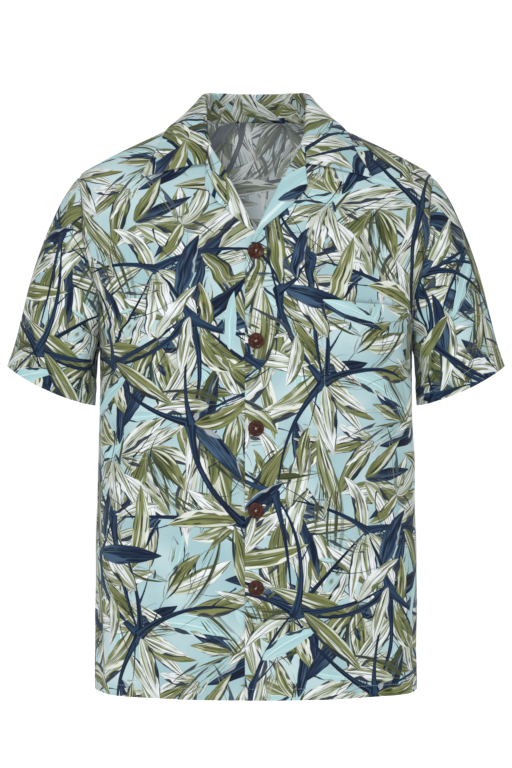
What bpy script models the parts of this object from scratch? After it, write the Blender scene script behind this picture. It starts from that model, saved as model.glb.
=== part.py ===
"""A short-sleeved aloha shirt with an open collar, filled out as worn with no wearer.

Units are metres, +Z is up, the front faces -Y and the wearer's left is at +X. The origin is the middle
of the neck, level with the ends of the shoulder seams. Every cloth piece is a thin wall on one torso
form: horizontal rings of half width, front depth and back depth, a row for each height.
"""

import math
from collections import namedtuple

import bmesh
import bpy
from mathutils import Matrix, Vector

# ------------------------------------------------------------------ driving sizes
CLOTH = 0.0015  # wall of every cloth piece
GAP = 0.0003  # left between two pieces at a seam
STACK = CLOTH + GAP  # from the middle of one layer to the middle of the layer lying on it
SQUARENESS = 2.4  # exponent of the torso's rings: 2 is an ellipse, more is squarer

HEM = -0.686
ARMPIT = -0.255
SHOULDER_TIP = -0.060
LAP = 0.0129  # each front runs this far past the middle
LAP_FADE = 0.045  # the two fronts share the torso form again this far from the middle

Ring = namedtuple("Ring", "height width front back")
TORSO = (
    Ring(HEM, 0.1970, 0.1330, 0.1310),
    Ring(-0.560, 0.1965, 0.1340, 0.1300),
    Ring(-0.440, 0.1940, 0.1360, 0.1290),
    Ring(-0.341, 0.1910, 0.1370, 0.1300),
    Ring(-0.263, 0.1910, 0.1370, 0.1350),
    Ring(-0.213, 0.1990, 0.1340, 0.1390),
    Ring(-0.166, 0.2200, 0.1280, 0.1390),
    Ring(-0.125, 0.2290, 0.1190, 0.1360),
    Ring(-0.090, 0.2250, 0.1080, 0.1300),
    Ring(SHOULDER_TIP, 0.2150, 0.0960, 0.1220),
    Ring(-0.045, 0.1920, 0.0890, 0.1160),
    Ring(-0.032, 0.1670, 0.0830, 0.1100),
    Ring(-0.020, 0.1420, 0.0780, 0.1050),
    Ring(0.000, 0.0990, 0.0670, 0.0940),
    Ring(0.011, 0.0750, 0.0590, 0.0860),
    Ring(0.020, 0.0580, 0.0520, 0.0790),
)

# Soft upright folds of the filled-out body. The angle is 0 at the middle of the front, 90 at the
# wearer's left side and 180 at the middle of the back.
Fold = namedtuple("Fold", "angle lean spread depth low high")
FOLDS = (
    Fold(-63, -5, 8, 0.0045, HEM, -0.270),
    Fold(-45, 4, 7, -0.0030, HEM, -0.400),
    Fold(52, 3, 8, -0.0030, HEM, -0.420),
    Fold(68, 6, 8, 0.0045, HEM, -0.300),
    Fold(118, -6, 9, 0.0050, HEM, -0.290),
    Fold(146, 5, 9, -0.0040, HEM, -0.360),
    Fold(172, -3, 10, 0.0035, HEM, -0.420),
    Fold(-140, 6, 10, 0.0045, HEM, -0.330),
    Fold(-112, -5, 8, -0.0035, HEM, -0.300),
)
FOLD_FADE = 0.110  # height over which a fold rises out of the smooth cloth above it

# Where the armhole's front and back edges lie: depth from the side plane at each height.
Armhole = namedtuple("Armhole", "height front back")
ARMHOLE = (
    Armhole(ARMPIT, 0.0000, 0.0000),
    Armhole(-0.249, 0.0250, 0.0260),
    Armhole(-0.235, 0.0420, 0.0440),
    Armhole(-0.210, 0.0550, 0.0580),
    Armhole(-0.166, 0.0620, 0.0660),
    Armhole(-0.125, 0.0600, 0.0640),
    Armhole(-0.095, 0.0500, 0.0540),
    Armhole(-0.073, 0.0330, 0.0350),
    Armhole(SHOULDER_TIP, 0.0000, 0.0000),
)

# The inner edge of a front above the armpit's height: front edge, roll line, neck seam.
Edge = namedtuple("Edge", "along x height")
FRONT_EDGE = (
    Edge(0.00, -LAP, ARMPIT),
    Edge(0.14, -LAP, -0.2050),
    Edge(0.25, -0.0110, -0.1600),
    Edge(0.28, -0.0053, -0.1485),
    Edge(0.33, 0.0015, -0.1340),
    Edge(0.42, 0.0170, -0.1030),
    Edge(0.53, 0.0357, -0.0660),
    Edge(0.64, 0.0562, -0.0290),
    Edge(0.73, 0.0634, -0.0120),
    Edge(0.82, 0.0690, 0.0020),
    Edge(0.91, 0.0735, 0.0090),
    Edge(1.00, 0.0750, 0.0110),
)
NECK_BACK = 0.017  # height of the neck seam at the middle of the back
NECK_SIDE = 0.011  # and at the ends of the shoulder seams
GORGE = 0.64  # where along the front edge the roll line meets the collar

# The open collar, a row from the middle of the back (along 0) to the gorge (along 1).
Collar = namedtuple("Collar", "along fold_x fold_y fold_z edge_x edge_y bend")
COLLAR = (
    Collar(0.00, 0.0000, 0.0760, 0.0500, 0.0000, 0.1030, 0.0),
    Collar(0.14, 0.0360, 0.0670, 0.0500, 0.0480, 0.0955, 0.0),
    Collar(0.28, 0.0560, 0.0450, 0.0480, 0.0830, 0.0670, 0.0),
    Collar(0.42, 0.0625, 0.0160, 0.0435, 0.0990, 0.0280, 0.0),
    Collar(0.55, 0.0635, -0.0120, 0.0330, 0.1030, -0.0180, 0.0),
    Collar(0.68, 0.0610, -0.0370, 0.0160, 0.1110, -0.0530, 0.0),
    Collar(0.80, 0.0590, -0.0580, -0.0030, 0.1220, -0.0729, 0.0),
    Collar(0.91, 0.0575, -0.0710, -0.0170, 0.1310, -0.0810, 0.35),
    Collar(1.00, 0.0535, -0.0805, -0.0290, 0.1370, -0.0853, 1.0),
)
SHOULDER_SEAM_AT = 0.47  # where along the collar it passes the ends of the shoulder seams
NOTCH_AT = 0.25  # share of the leaf's width at which its front end bends
NOTCH_SHIFT = Vector((-0.0160, -0.0040, -0.0165))  # from the straight line, at the end itself
LEAF_CLEAR = 0.0032  # the leaf's middle stays this far off the torso form
FOLD_RADIUS = 0.0025
SEAM_LAP = 0.0030  # the stand starts this far inside the neck edge of the fronts and back

# The turned-back top of a front: the roll line is FRONT_EDGE's, these are its outer edge.
LAPEL_LOW = 0.28  # along FRONT_EDGE, for the front on top
LAPEL_LOW_UNDER = 0.34  # the lapel underneath stops where the front on top crosses it
LapelEdge = namedtuple("LapelEdge", "along x height")
LAPEL_EDGE = (
    LapelEdge(0.28, -0.0015, -0.1490),
    LapelEdge(0.34, 0.0080, -0.1330),
    LapelEdge(0.42, 0.0310, -0.1130),
    LapelEdge(0.50, 0.0520, -0.0930),
    LapelEdge(0.55, 0.0606, -0.0800),
    LapelEdge(0.64, 0.0590, -0.0570),
)

SLEEVE_CUFF = Vector((0.2515, 0.0, -0.3170))
CUFF_WIDTH = 0.0586  # half, in the plane of the front view
CUFF_DEPTH = 0.0620  # half, front to back
CUFF_TILT = math.radians(24.5)
CUFF_SAG = 0.0055  # the front and back of the cuff's edge dip this far
SLEEVE_TOP_PULL = Vector((0.112, 0.0, -0.088))  # how the cloth leaves the shoulder tip
SLEEVE_LOW_PULL = Vector((0.012, 0.0, -0.085))  # and the armpit
CUFF_TOP_PULL = Vector((0.058, 0.0, -0.185))  # how it arrives at the cuff, outer side
CUFF_LOW_PULL = Vector((0.006, 0.0, -0.085))  # and inner side
SLEEVE_SWELL = 0.030  # fullness of the front and back of the sleeve head

POCKET_X = (0.078, 0.176)
POCKET_TOP = (-0.2150, -0.2230)  # at the side nearer the closing, and at the far side
POCKET_BOTTOM = -0.3480
PATCH_GAP = 0.0008  # under a flat patch, whose facets aren't its panel's

BUTTON_HEIGHTS = (-0.1590, -0.2645, -0.3670, -0.4630, -0.5540)
BUTTON_RADIUS = 0.0094
BUTTON_THICK = 0.0030
BUTTON_DISH = 0.0010
BUTTON_HOLES = 4
BUTTON_HOLE = 0.0009
BUTTON_HOLE_AT = 0.0019
ButtonPoint = namedtuple("ButtonPoint", "radius up dish")
BUTTON_PROFILE = (  # shares of the radius, of the thickness, and of the dish taken off it
    ButtonPoint(0.00, 0.00, 0.00),
    ButtonPoint(0.86, 0.00, 0.00),
    ButtonPoint(1.00, 0.40, 0.00),
    ButtonPoint(0.95, 0.85, 0.00),
    ButtonPoint(0.82, 1.00, 0.00),
    ButtonPoint(0.62, 1.00, 0.85),
    ButtonPoint(0.00, 1.00, 1.00),
)

CLOTH_ROUGHNESS = 0.75
BUTTON_ROUGHNESS = 0.35
COLOURS = {
    "front": (0.50, 0.60, 0.56, 1.0),
    "back": (0.47, 0.57, 0.53, 1.0),
    "sleeve": (0.53, 0.62, 0.57, 1.0),
    "collar": (0.56, 0.63, 0.54, 1.0),
    "pocket": (0.52, 0.64, 0.60, 1.0),
    "button": (0.09, 0.035, 0.025, 1.0),
}


# ------------------------------------------------------------------ reading the tables
def smooth(table, key, column, at):
    """The column's value at this key, along a cubic that never overshoots its rows."""
    rows = sorted(table, key=lambda row: getattr(row, key))
    keys = [getattr(row, key) for row in rows]
    values = [getattr(row, column) for row in rows]
    at = min(max(at, keys[0]), keys[-1])
    steps = [b - a for a, b in zip(keys, keys[1:])]
    slopes = [(b - a) / step for a, b, step in zip(values, values[1:], steps)]
    tangents = [slopes[0]]
    for before, after in zip(slopes, slopes[1:]):
        same_way = before * after > 0
        tangents.append(2 * before * after / (before + after) if same_way else 0.0)
    tangents.append(slopes[-1])
    i = max(k for k in range(len(steps)) if keys[k] <= at)
    t = (at - keys[i]) / steps[i]
    start = (1 + 2 * t) * (1 - t) ** 2 * values[i] + t * (1 - t) ** 2 * steps[i] * tangents[i]
    end = t * t * (3 - 2 * t) * values[i + 1] + t * t * (t - 1) * steps[i] * tangents[i + 1]
    return start + end


def ease(t):
    t = min(max(t, 0.0), 1.0)
    return t * t * (3 - 2 * t)


# ------------------------------------------------------------------ the torso form
def fold_height(angle, height):
    """How far the soft folds push the body out at this angle, in degrees."""
    total = 0.0
    for fold in FOLDS:
        rise = (height - fold.low) / (fold.high - fold.low)
        away = (angle - fold.angle - fold.lean * rise + 180) % 360 - 180
        strength = ease((fold.high - height) / FOLD_FADE)
        total += fold.depth * strength * math.exp(-((away / fold.spread) ** 2))
    return total


def torso(angle, height):
    """The point of the torso form at this angle, in radians, and height."""
    width = smooth(TORSO, "height", "width", height)
    depth = smooth(TORSO, "height", "front" if math.cos(angle) > 0 else "back", height)
    across = abs(math.sin(angle) / width) ** SQUARENESS
    along = abs(math.cos(angle) / depth) ** SQUARENESS
    reach = (across + along) ** (-1 / SQUARENESS) + fold_height(math.degrees(angle), height)
    return Vector((reach * math.sin(angle), -reach * math.cos(angle), height))


NORMAL_STEP = 0.001  # radians round the form and metres up it
HOLD_STEP = 0.0005
HOLD_TRIES = 6
LEAST_SLOPE = 0.2  # keeps a step off the form short where the form is nearly level
HALVINGS = 30


def torso_out(angle, height):
    """The outward normal of the torso form."""
    around = torso(angle + NORMAL_STEP, height) - torso(angle - NORMAL_STEP, height)
    up = torso(angle, height + NORMAL_STEP) - torso(angle, height - NORMAL_STEP)
    return around.cross(up).normalized()


def angle_at(x, height):
    """The angle of the point of the torso's front with this x."""
    width = smooth(TORSO, "height", "width", height)
    depth = smooth(TORSO, "height", "front", height)
    share = max(1 - abs(x / width) ** SQUARENESS, 0.0) ** (1 / SQUARENESS)
    return math.atan2(x, depth * share)


def angle_at_depth(y, height):
    """The angle of the point this far in front of (positive) or behind the side plane."""
    width = smooth(TORSO, "height", "width", height)
    depth = smooth(TORSO, "height", "front" if y > 0 else "back", height)
    share = max(1 - abs(y / depth) ** SQUARENESS, 0.0) ** (1 / SQUARENESS)
    return math.atan2(width * share, y)


def level(point):
    """Below 0 inside the torso form, above 0 outside it, in metres near the form."""
    width = smooth(TORSO, "height", "width", point.z)
    depth = smooth(TORSO, "height", "front" if point.y < 0 else "back", point.z)
    share = abs(point.x / width) ** SQUARENESS + abs(point.y / depth) ** SQUARENESS
    return math.hypot(point.x, point.y) * (1 - max(share, 1e-6) ** (-1 / SQUARENESS))


def held_off(point, clearance):
    """The point moved out, if need be, until it clears the torso form."""
    for _ in range(HOLD_TRIES):
        here = level(point)
        slope = Vector(
            (level(point + HOLD_STEP * Vector(axis)) - here) / HOLD_STEP
            for axis in ((1, 0, 0), (0, 1, 0), (0, 0, 1))
        )
        away = here / max(slope.length, LEAST_SLOPE)
        if away >= clearance:
            break
        point = point + slope.normalized() * (clearance - away)
    return point


def shoulder_height(x, y):
    """The height at which the torso form passes through this plan position."""
    low, high = ARMPIT, TORSO[-1].height
    for _ in range(HALVINGS):
        middle = (low + high) / 2
        if level(Vector((x, y, middle))) < 0:
            low = middle
        else:
            high = middle
    return low


# ------------------------------------------------------------------ walls from grids
def grid_normals(grid, closed):
    rows, columns = len(grid), len(grid[0])
    normals = []
    for i in range(rows):
        line = []
        for j in range(columns):
            before = grid[i][(j - 1) % columns] if closed else grid[i][max(j - 1, 0)]
            after = grid[i][(j + 1) % columns] if closed else grid[i][min(j + 1, columns - 1)]
            below = grid[max(i - 1, 0)][j]
            above = grid[min(i + 1, rows - 1)][j]
            line.append((after - before).cross(above - below).normalized())
        normals.append(line)
    return normals


def material(colour, name):
    made = bpy.data.materials.new(name)
    made.use_nodes = True
    shader = made.node_tree.nodes["Principled BSDF"]
    shader.inputs["Base Color"].default_value = COLOURS[colour]
    shader.inputs["Roughness"].default_value = BUTTON_ROUGHNESS if colour == "button" else CLOTH_ROUGHNESS
    shader.inputs["Metallic"].default_value = 0.0
    return made


def add_object(name, mesh, colour):
    made = bpy.data.objects.new(name, mesh)
    mesh.materials.append(material(colour, name + "_finish"))
    bpy.context.scene.collection.objects.link(made)
    return made


def wall(name, grid, colour, closed=False, normals=None):
    """A closed solid of even thickness about a grid of points; closed grids join round in a ring."""
    normals = normals or grid_normals(grid, closed)
    rows, columns = len(grid), len(grid[0])
    form = bmesh.new()
    skins = []
    for side in (0.5, -0.5):
        skins.append([
            [form.verts.new(grid[i][j] + normals[i][j] * CLOTH * side) for j in range(columns)]
            for i in range(rows)
        ])
    outer, inner = skins
    spans = columns if closed else columns - 1
    for i in range(rows - 1):
        for j in range(spans):
            k = (j + 1) % columns
            form.faces.new((outer[i][j], outer[i][k], outer[i + 1][k], outer[i + 1][j]))
            form.faces.new((inner[i][j], inner[i + 1][j], inner[i + 1][k], inner[i][k]))
    for i in (0, rows - 1):
        for j in range(spans):
            k = (j + 1) % columns
            form.faces.new((outer[i][j], inner[i][j], inner[i][k], outer[i][k]))
    if not closed:
        for j in (0, columns - 1):
            for i in range(rows - 1):
                form.faces.new((outer[i][j], outer[i + 1][j], inner[i + 1][j], inner[i][j]))
    bmesh.ops.recalc_face_normals(form, faces=form.faces)
    mesh = bpy.data.meshes.new(name)
    form.to_mesh(mesh)
    form.free()
    return add_object(name, mesh, colour)


def mirrored(grid):
    """The same grid on the wearer's other side, its rows turned so that it still faces out."""
    return [[Vector((-p.x, p.y, p.z)) for p in reversed(row)] for row in grid]


def shares(count):
    return [k / count for k in range(count + 1)]


# ------------------------------------------------------------------ fronts and back
BODY_ROWS = 12  # from the hem to the armpit
YOKE_ROWS = 14  # from the armpit to the shoulder seam
FRONT_COLUMNS = 15
BACK_COLUMNS = 24  # across the whole back
BACK_BEND = 5  # only the top rows turn the corner into the neck seam
BACK_LEVEL = 1.15  # the other rows level off this much before the middle
SHOULDER_SHARE = 0.5  # of the back's top row, the rest being the neck seam


def armhole_angle(height, side):
    y = smooth(ARMHOLE, "height", "front" if side > 0 else "back", height)
    return angle_at_depth(side * y, height)


def armhole_height(share):
    """Heights up the armhole's edge, closer together where it turns."""
    turn = (1 - math.cos(math.pi * share)) / 2
    return ARMPIT + (SHOULDER_TIP - ARMPIT) * turn


def lap_out(x, on_top):
    """At the closing the front on top stands off the form and the one below is let in."""
    fade = 1 - ease((abs(x) - LAP) / (LAP_FADE - LAP))
    return (STACK + GAP) / 2 * fade * (1 if on_top else -1)


def front_point(angle, height, side, on_top):
    """A point of the wearer's left front (side 1) or right front (side -1)."""
    point = torso(side * angle, height)
    return point + torso_out(side * angle, height) * lap_out(point.x, on_top)


def half_gap(height):
    """Half the gap at a seam, as an angle."""
    return GAP / 2 / torso(math.pi / 2, height).length


def front_places():
    """Angle and height of each point of a front, from its inner edge to its side seam and armhole."""
    places = []
    for share in shares(BODY_ROWS)[:-1]:
        height = HEM + (ARMPIT - HEM) * share
        first = angle_at(-LAP, height)
        last = math.pi / 2 - half_gap(height)
        places.append([(first + (last - first) * s, height) for s in shares(FRONT_COLUMNS)])
    for share in shares(YOKE_ROWS):
        inner = smooth(FRONT_EDGE, "along", "height", share)
        outer = armhole_height(share)
        first = angle_at(smooth(FRONT_EDGE, "along", "x", share), inner)
        first = min(first, math.pi / 2 - half_gap(inner))
        last = armhole_angle(outer, 1) - half_gap(outer)
        places.append([
            (first + (last - first) * s, inner + (outer - inner) * s) for s in shares(FRONT_COLUMNS)
        ])
    return places


def add_front(name, side, on_top):
    places = front_places()
    if side < 0:
        places = [line[::-1] for line in places]
    grid = [[front_point(a, h, side, on_top) for a, h in line] for line in places]
    normals = [[torso_out(side * a, h) for a, h in line] for line in places]
    wall(name, grid, "front", normals=normals)


def back_places():
    """Angle and height of each point of the back's left half, from its outer edge to the middle."""
    places = []
    columns = BACK_COLUMNS // 2
    for share in shares(BODY_ROWS)[:-1]:
        height = HEM + (ARMPIT - HEM) * share
        first = math.pi / 2 + half_gap(height)
        places.append([(first + (math.pi - first) * s, height) for s in shares(columns)])
    for share in shares(YOKE_ROWS):
        outer = armhole_height(share)
        middle = ARMPIT + (NECK_BACK - ARMPIT) * share
        first = armhole_angle(outer, -1) + half_gap(outer)
        bend = share ** BACK_BEND
        line = []
        for s in shares(columns):
            lift = ease(s * BACK_LEVEL)
            plain = Vector((first + (math.pi - first) * s, outer + (middle - outer) * lift))
            on_shoulder = min(s / SHOULDER_SHARE, 1.0)
            on_neck = max(s - SHOULDER_SHARE, 0.0) / (1 - SHOULDER_SHARE)
            corner = outer + (NECK_SIDE - outer) * on_shoulder
            seamed = Vector((first + (math.pi - first) * on_neck, corner))
            seamed.y += (NECK_BACK - NECK_SIDE) * ease(on_neck)
            line.append(tuple(plain.lerp(seamed, bend)))
        places.append(line)
    return places


def add_back():
    lines = [line + [(-a, h) for a, h in line[-2::-1]] for line in back_places()]
    grid = [[torso(a, h) for a, h in line] for line in lines]
    normals = [[torso_out(a, h) for a, h in line] for line in lines]
    wall("back", grid, "back", normals=normals)


# ------------------------------------------------------------------ sleeves
SLEEVE_ROWS = 9
SLEEVE_COLUMNS = 24


def armhole_loop(turn):
    """The armhole's edge: turn 0 is the shoulder tip, a quarter the front, a half the armpit."""
    side = 1 if turn <= 0.5 else -1
    share = abs(1 - 2 * turn)
    height = armhole_height(share)
    angle = armhole_angle(height, side)
    return torso(angle, height) + torso_out(angle, height) * STACK


def sleeve_point(turn, along):
    """A point of the wearer's left sleeve, from the armhole (along 0) to the cuff (along 1)."""
    start = armhole_loop(turn)
    top = (1 + math.cos(2 * math.pi * turn)) / 2
    low = 1 - top
    front = math.sin(2 * math.pi * turn)
    cuff_out = Vector((math.cos(CUFF_TILT), 0, math.sin(CUFF_TILT)))
    end = SLEEVE_CUFF + cuff_out * (CUFF_WIDTH * (top - low))
    end += Vector((0, -CUFF_DEPTH * front, -CUFF_SAG * front * front))
    leave = SLEEVE_TOP_PULL * top + SLEEVE_LOW_PULL * low
    leave += Vector((SLEEVE_SWELL * front * front, -SLEEVE_SWELL * front, 0))
    arrive = CUFF_TOP_PULL * top + CUFF_LOW_PULL * low
    t = along
    return (
        start * ((1 + 2 * t) * (1 - t) ** 2)
        + leave * (t * (1 - t) ** 2)
        + end * (t * t * (3 - 2 * t))
        + arrive * (t * t * (t - 1))
    )


def sleeve_grid():
    turns = [k / SLEEVE_COLUMNS for k in range(SLEEVE_COLUMNS)]
    return [[sleeve_point(turn, along) for turn in turns] for along in shares(SLEEVE_ROWS)]


# ------------------------------------------------------------------ collar and lapels
COLLAR_STATIONS = 18
STAND_STEPS = 3
STAND_SHARE = 0.35  # the stand's last point lies at most this share of the way down from the fold
LEAF_STEPS = 6


def neck_seam(along):
    """Angle and height of the neck seam at this station of the collar."""
    if along <= SHOULDER_SEAM_AT:
        t = along / SHOULDER_SEAM_AT
        return math.pi * (1 - t / 2), NECK_BACK + (NECK_SIDE - NECK_BACK) * ease(t)
    t = (along - SHOULDER_SEAM_AT) / (1 - SHOULDER_SEAM_AT)
    edge = 1 - (1 - GORGE) * t
    height = smooth(FRONT_EDGE, "along", "height", edge)
    return angle_at(smooth(FRONT_EDGE, "along", "x", edge), height), height


def collar_line(along):
    """The collar's section at this station, from the neck seam over the fold to the leaf's edge."""

    def value(column):
        return smooth(COLLAR, "along", column, along)

    seam = torso(*neck_seam(along))
    out = Vector((seam.x, seam.y, 0)).normalized()
    seam = seam - torso_out(*neck_seam(along)) * SEAM_LAP
    fold = Vector((value("fold_x"), value("fold_y"), value("fold_z")))
    edge_x, edge_y = value("edge_x"), value("edge_y")
    edge = Vector((edge_x, edge_y, shoulder_height(edge_x, edge_y)))
    edge = held_off(edge, LEAF_CLEAR)
    down = seam - fold  # short where the stand runs out, near the gorge
    stand_top = fold - out * FOLD_RADIUS + down * min(FOLD_RADIUS / down.length, STAND_SHARE)
    leaf_top = fold + out * FOLD_RADIUS + (edge - fold).normalized() * FOLD_RADIUS
    points = [seam.lerp(stand_top, s) for s in shares(STAND_STEPS)]
    points.append(fold)
    for s in shares(LEAF_STEPS):
        point = leaf_top.lerp(edge, s)
        bend = s / NOTCH_AT if s < NOTCH_AT else (1 - s) / (1 - NOTCH_AT)
        point = point + NOTCH_SHIFT * (bend * value("bend"))
        points.append(held_off(point, LEAF_CLEAR))
    return points


def collar_grid():
    left = [collar_line(share) for share in shares(COLLAR_STATIONS // 2)]
    right = [[Vector((-p.x, p.y, p.z)) for p in line] for line in reversed(left[1:])]
    return right + left


LAPEL_ROWS = 10
LAPEL_COLUMNS = 3
LAPEL_HIGH = GORGE - 0.012  # along FRONT_EDGE, just short of the collar


def edge_point(table, along):
    """The x and height of a front's edge or a lapel's edge at this place along it."""
    return Vector((smooth(table, "along", "x", along), smooth(table, "along", "height", along)))


def lapel_grid(side, on_top):
    """The turned-back strip between the roll line and its outer edge, lying on its own front."""
    low = LAPEL_LOW if on_top else LAPEL_LOW_UNDER
    grid = []
    for share in shares(LAPEL_ROWS):
        along = low + (LAPEL_HIGH - low) * share
        roll = edge_point(FRONT_EDGE, along)
        edge = edge_point(LAPEL_EDGE, along)
        line = []
        for s in shares(LAPEL_COLUMNS):
            x, height = roll.lerp(edge, s)
            angle = angle_at(x, height)
            point = front_point(angle, height, side, on_top)
            line.append(point + torso_out(side * angle, height) * (CLOTH + PATCH_GAP))
        grid.append(line)
    return grid if side > 0 else [list(reversed(row)) for row in grid]


# ------------------------------------------------------------------ pocket and buttons
POCKET_COLUMNS = 8
POCKET_ROWS = 8


def pocket_grid():
    grid = []
    for up in shares(POCKET_ROWS):
        line = []
        for across in shares(POCKET_COLUMNS):
            x = POCKET_X[0] + (POCKET_X[1] - POCKET_X[0]) * across
            top = POCKET_TOP[0] + (POCKET_TOP[1] - POCKET_TOP[0]) * across
            height = POCKET_BOTTOM + (top - POCKET_BOTTOM) * up
            angle = angle_at(x, height)
            out = torso_out(angle, height)
            line.append(front_point(angle, height, 1, True) + out * (CLOTH + PATCH_GAP))
        grid.append(line)
    return grid


BUTTON_SIDES = 32
HOLE_SIDES = 10
HOLE_TURN = math.radians(45)  # the holes lie on the slants
MERGE = 1e-6


def button(name, height):
    """A dished four-hole button lying on the closing, its holes cut through."""
    form = bmesh.new()
    line = [
        form.verts.new((BUTTON_RADIUS * at.radius, 0, BUTTON_THICK * at.up - BUTTON_DISH * at.dish))
        for at in BUTTON_PROFILE
    ]
    edges = [form.edges.new(pair) for pair in zip(line, line[1:])]
    bmesh.ops.spin(
        form, geom=line + edges, cent=(0, 0, 0), axis=(0, 0, 1), angle=2 * math.pi, steps=BUTTON_SIDES
    )
    bmesh.ops.remove_doubles(form, verts=form.verts, dist=MERGE)
    bmesh.ops.recalc_face_normals(form, faces=form.faces)
    mesh = bpy.data.meshes.new(name)
    form.to_mesh(mesh)
    form.free()
    made = add_object(name, mesh, "button")

    cutter_form = bmesh.new()
    for k in range(BUTTON_HOLES):
        turn = HOLE_TURN + 2 * math.pi * k / BUTTON_HOLES
        place = Matrix.Translation((
            BUTTON_HOLE_AT * math.cos(turn), BUTTON_HOLE_AT * math.sin(turn), BUTTON_THICK / 2
        ))
        bmesh.ops.create_cone(
            cutter_form, cap_ends=True, segments=HOLE_SIDES, radius1=BUTTON_HOLE, radius2=BUTTON_HOLE,
            depth=BUTTON_THICK * 3, matrix=place,
        )
    cutter_mesh = bpy.data.meshes.new(name + "_holes")
    cutter_form.to_mesh(cutter_mesh)
    cutter_form.free()
    cutter = bpy.data.objects.new(name + "_holes", cutter_mesh)
    cutter.hide_render = True
    cutter.display_type = "WIRE"
    bpy.context.scene.collection.objects.link(cutter)
    holes = made.modifiers.new("holes", "BOOLEAN")
    holes.operation = "DIFFERENCE"
    holes.solver = "EXACT"
    holes.object = cutter

    out = torso_out(0, height)
    seat = front_point(0, height, 1, True) + out * (CLOTH / 2 + GAP)
    placed = Matrix.Translation(seat) @ out.to_track_quat("Z", "Y").to_matrix().to_4x4()
    made.matrix_world = placed
    cutter.matrix_world = placed


# ------------------------------------------------------------------ the shirt
def build():
    for old in list(bpy.data.objects):
        bpy.data.objects.remove(old, do_unlink=True)
    add_front("left_front", 1, True)
    add_front("right_front", -1, False)
    add_back()
    wall("left_sleeve", sleeve_grid(), "sleeve", closed=True)
    wall("right_sleeve", mirrored(sleeve_grid()), "sleeve", closed=True)
    wall("collar", collar_grid(), "collar")
    wall("left_lapel", lapel_grid(1, True), "collar")
    wall("right_lapel", lapel_grid(-1, False), "collar")
    wall("pocket", pocket_grid(), "pocket")
    for number, height in enumerate(BUTTON_HEIGHTS, 1):
        button(f"button_{number}", height)


build()
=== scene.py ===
# %% [markdown]
# # An aloha shirt, made as a sewn garment
# The real thing is cut from one printed cloth: two fronts, a back, two short sleeves, an open
# collar with turned-back lapels, and one patch pocket. Cloth is thin, so each piece is built here
# as a fine grid of points on the form the wearer's body would fill, given a wall of less than a
# millimetre. We start by loading the plain solid model, which fixes where every piece goes.

# %% Load the frame
import math

import bpy
import numpy as np
from mathutils import Matrix, Vector


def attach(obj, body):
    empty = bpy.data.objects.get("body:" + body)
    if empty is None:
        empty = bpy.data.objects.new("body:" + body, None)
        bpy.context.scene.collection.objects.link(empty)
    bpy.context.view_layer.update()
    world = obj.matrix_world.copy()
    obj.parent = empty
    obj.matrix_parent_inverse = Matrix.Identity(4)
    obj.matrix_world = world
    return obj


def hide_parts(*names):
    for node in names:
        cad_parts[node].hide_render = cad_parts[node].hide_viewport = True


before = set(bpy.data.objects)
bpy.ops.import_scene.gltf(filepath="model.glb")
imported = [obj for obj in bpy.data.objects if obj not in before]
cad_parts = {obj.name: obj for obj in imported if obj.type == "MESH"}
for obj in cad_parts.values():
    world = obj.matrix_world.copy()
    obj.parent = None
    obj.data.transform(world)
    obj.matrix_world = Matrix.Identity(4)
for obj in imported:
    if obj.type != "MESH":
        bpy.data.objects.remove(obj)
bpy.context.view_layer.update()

# %% [markdown]
# ## The form inside the shirt
# A shirt that looks worn with no wearer follows a torso. We describe it with horizontal rings:
# half width, depth in front and depth behind, a row for each height. A smooth curve through the
# rows gives every height between. Front is -Y, the wearer's left is +X, and metres are used.
# The form could be sculpted, or be a body for a cloth simulation to fall on. A table is chosen
# because each of its numbers can be read and changed, and every sheet lies on the same form.

# %% Sizes of the form
HEM, ARMPIT, SHOULDER_TIP = -0.686, -0.255, -0.060
SQUARENESS = 2.4  # 2 would make every ring an ellipse, and more makes it squarer
LAP, LAP_FADE = 0.0129, 0.045  # how far the fronts overlap past the middle, and how far that shows

TORSO = np.array([  # height, half width, front depth, back depth
    (-0.686, 0.1970, 0.1330, 0.1310), (-0.560, 0.1965, 0.1340, 0.1300), (-0.440, 0.1940, 0.1360, 0.1290),
    (-0.341, 0.1910, 0.1370, 0.1300), (-0.263, 0.1910, 0.1370, 0.1350), (-0.213, 0.1990, 0.1340, 0.1390),
    (-0.166, 0.2200, 0.1280, 0.1390), (-0.125, 0.2290, 0.1190, 0.1360), (-0.090, 0.2250, 0.1080, 0.1300),
    (-0.060, 0.2150, 0.0960, 0.1220), (-0.045, 0.1920, 0.0890, 0.1160), (-0.032, 0.1670, 0.0830, 0.1100),
    (-0.020, 0.1420, 0.0780, 0.1050), (0.000, 0.0990, 0.0670, 0.0940), (0.011, 0.0750, 0.0590, 0.0860),
    (0.020, 0.0580, 0.0520, 0.0790),
])
FOLDS = (  # long upright folds: angle and lean in degrees, spread, depth, low end, high end
    (-63, -5, 8, 0.0045, HEM, -0.270), (-45, 4, 7, -0.0030, HEM, -0.400), (52, 3, 8, -0.0030, HEM, -0.420),
    (68, 6, 8, 0.0045, HEM, -0.300), (118, -6, 9, 0.0050, HEM, -0.290), (146, 5, 9, -0.0040, HEM, -0.360),
    (172, -3, 10, 0.0035, HEM, -0.420), (-140, 6, 10, 0.0045, HEM, -0.330),
    (-112, -5, 8, -0.0035, HEM, -0.300),
)
FOLD_FADE = 0.110
ARMHOLE = np.array([  # height, depth of its front edge, depth of its back edge
    (-0.255, 0.0, 0.0), (-0.249, 0.0250, 0.0260), (-0.235, 0.0420, 0.0440), (-0.210, 0.0550, 0.0580),
    (-0.166, 0.0620, 0.0660), (-0.125, 0.0600, 0.0640), (-0.095, 0.0500, 0.0540), (-0.073, 0.0330, 0.0350),
    (-0.060, 0.0, 0.0),
])
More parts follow.
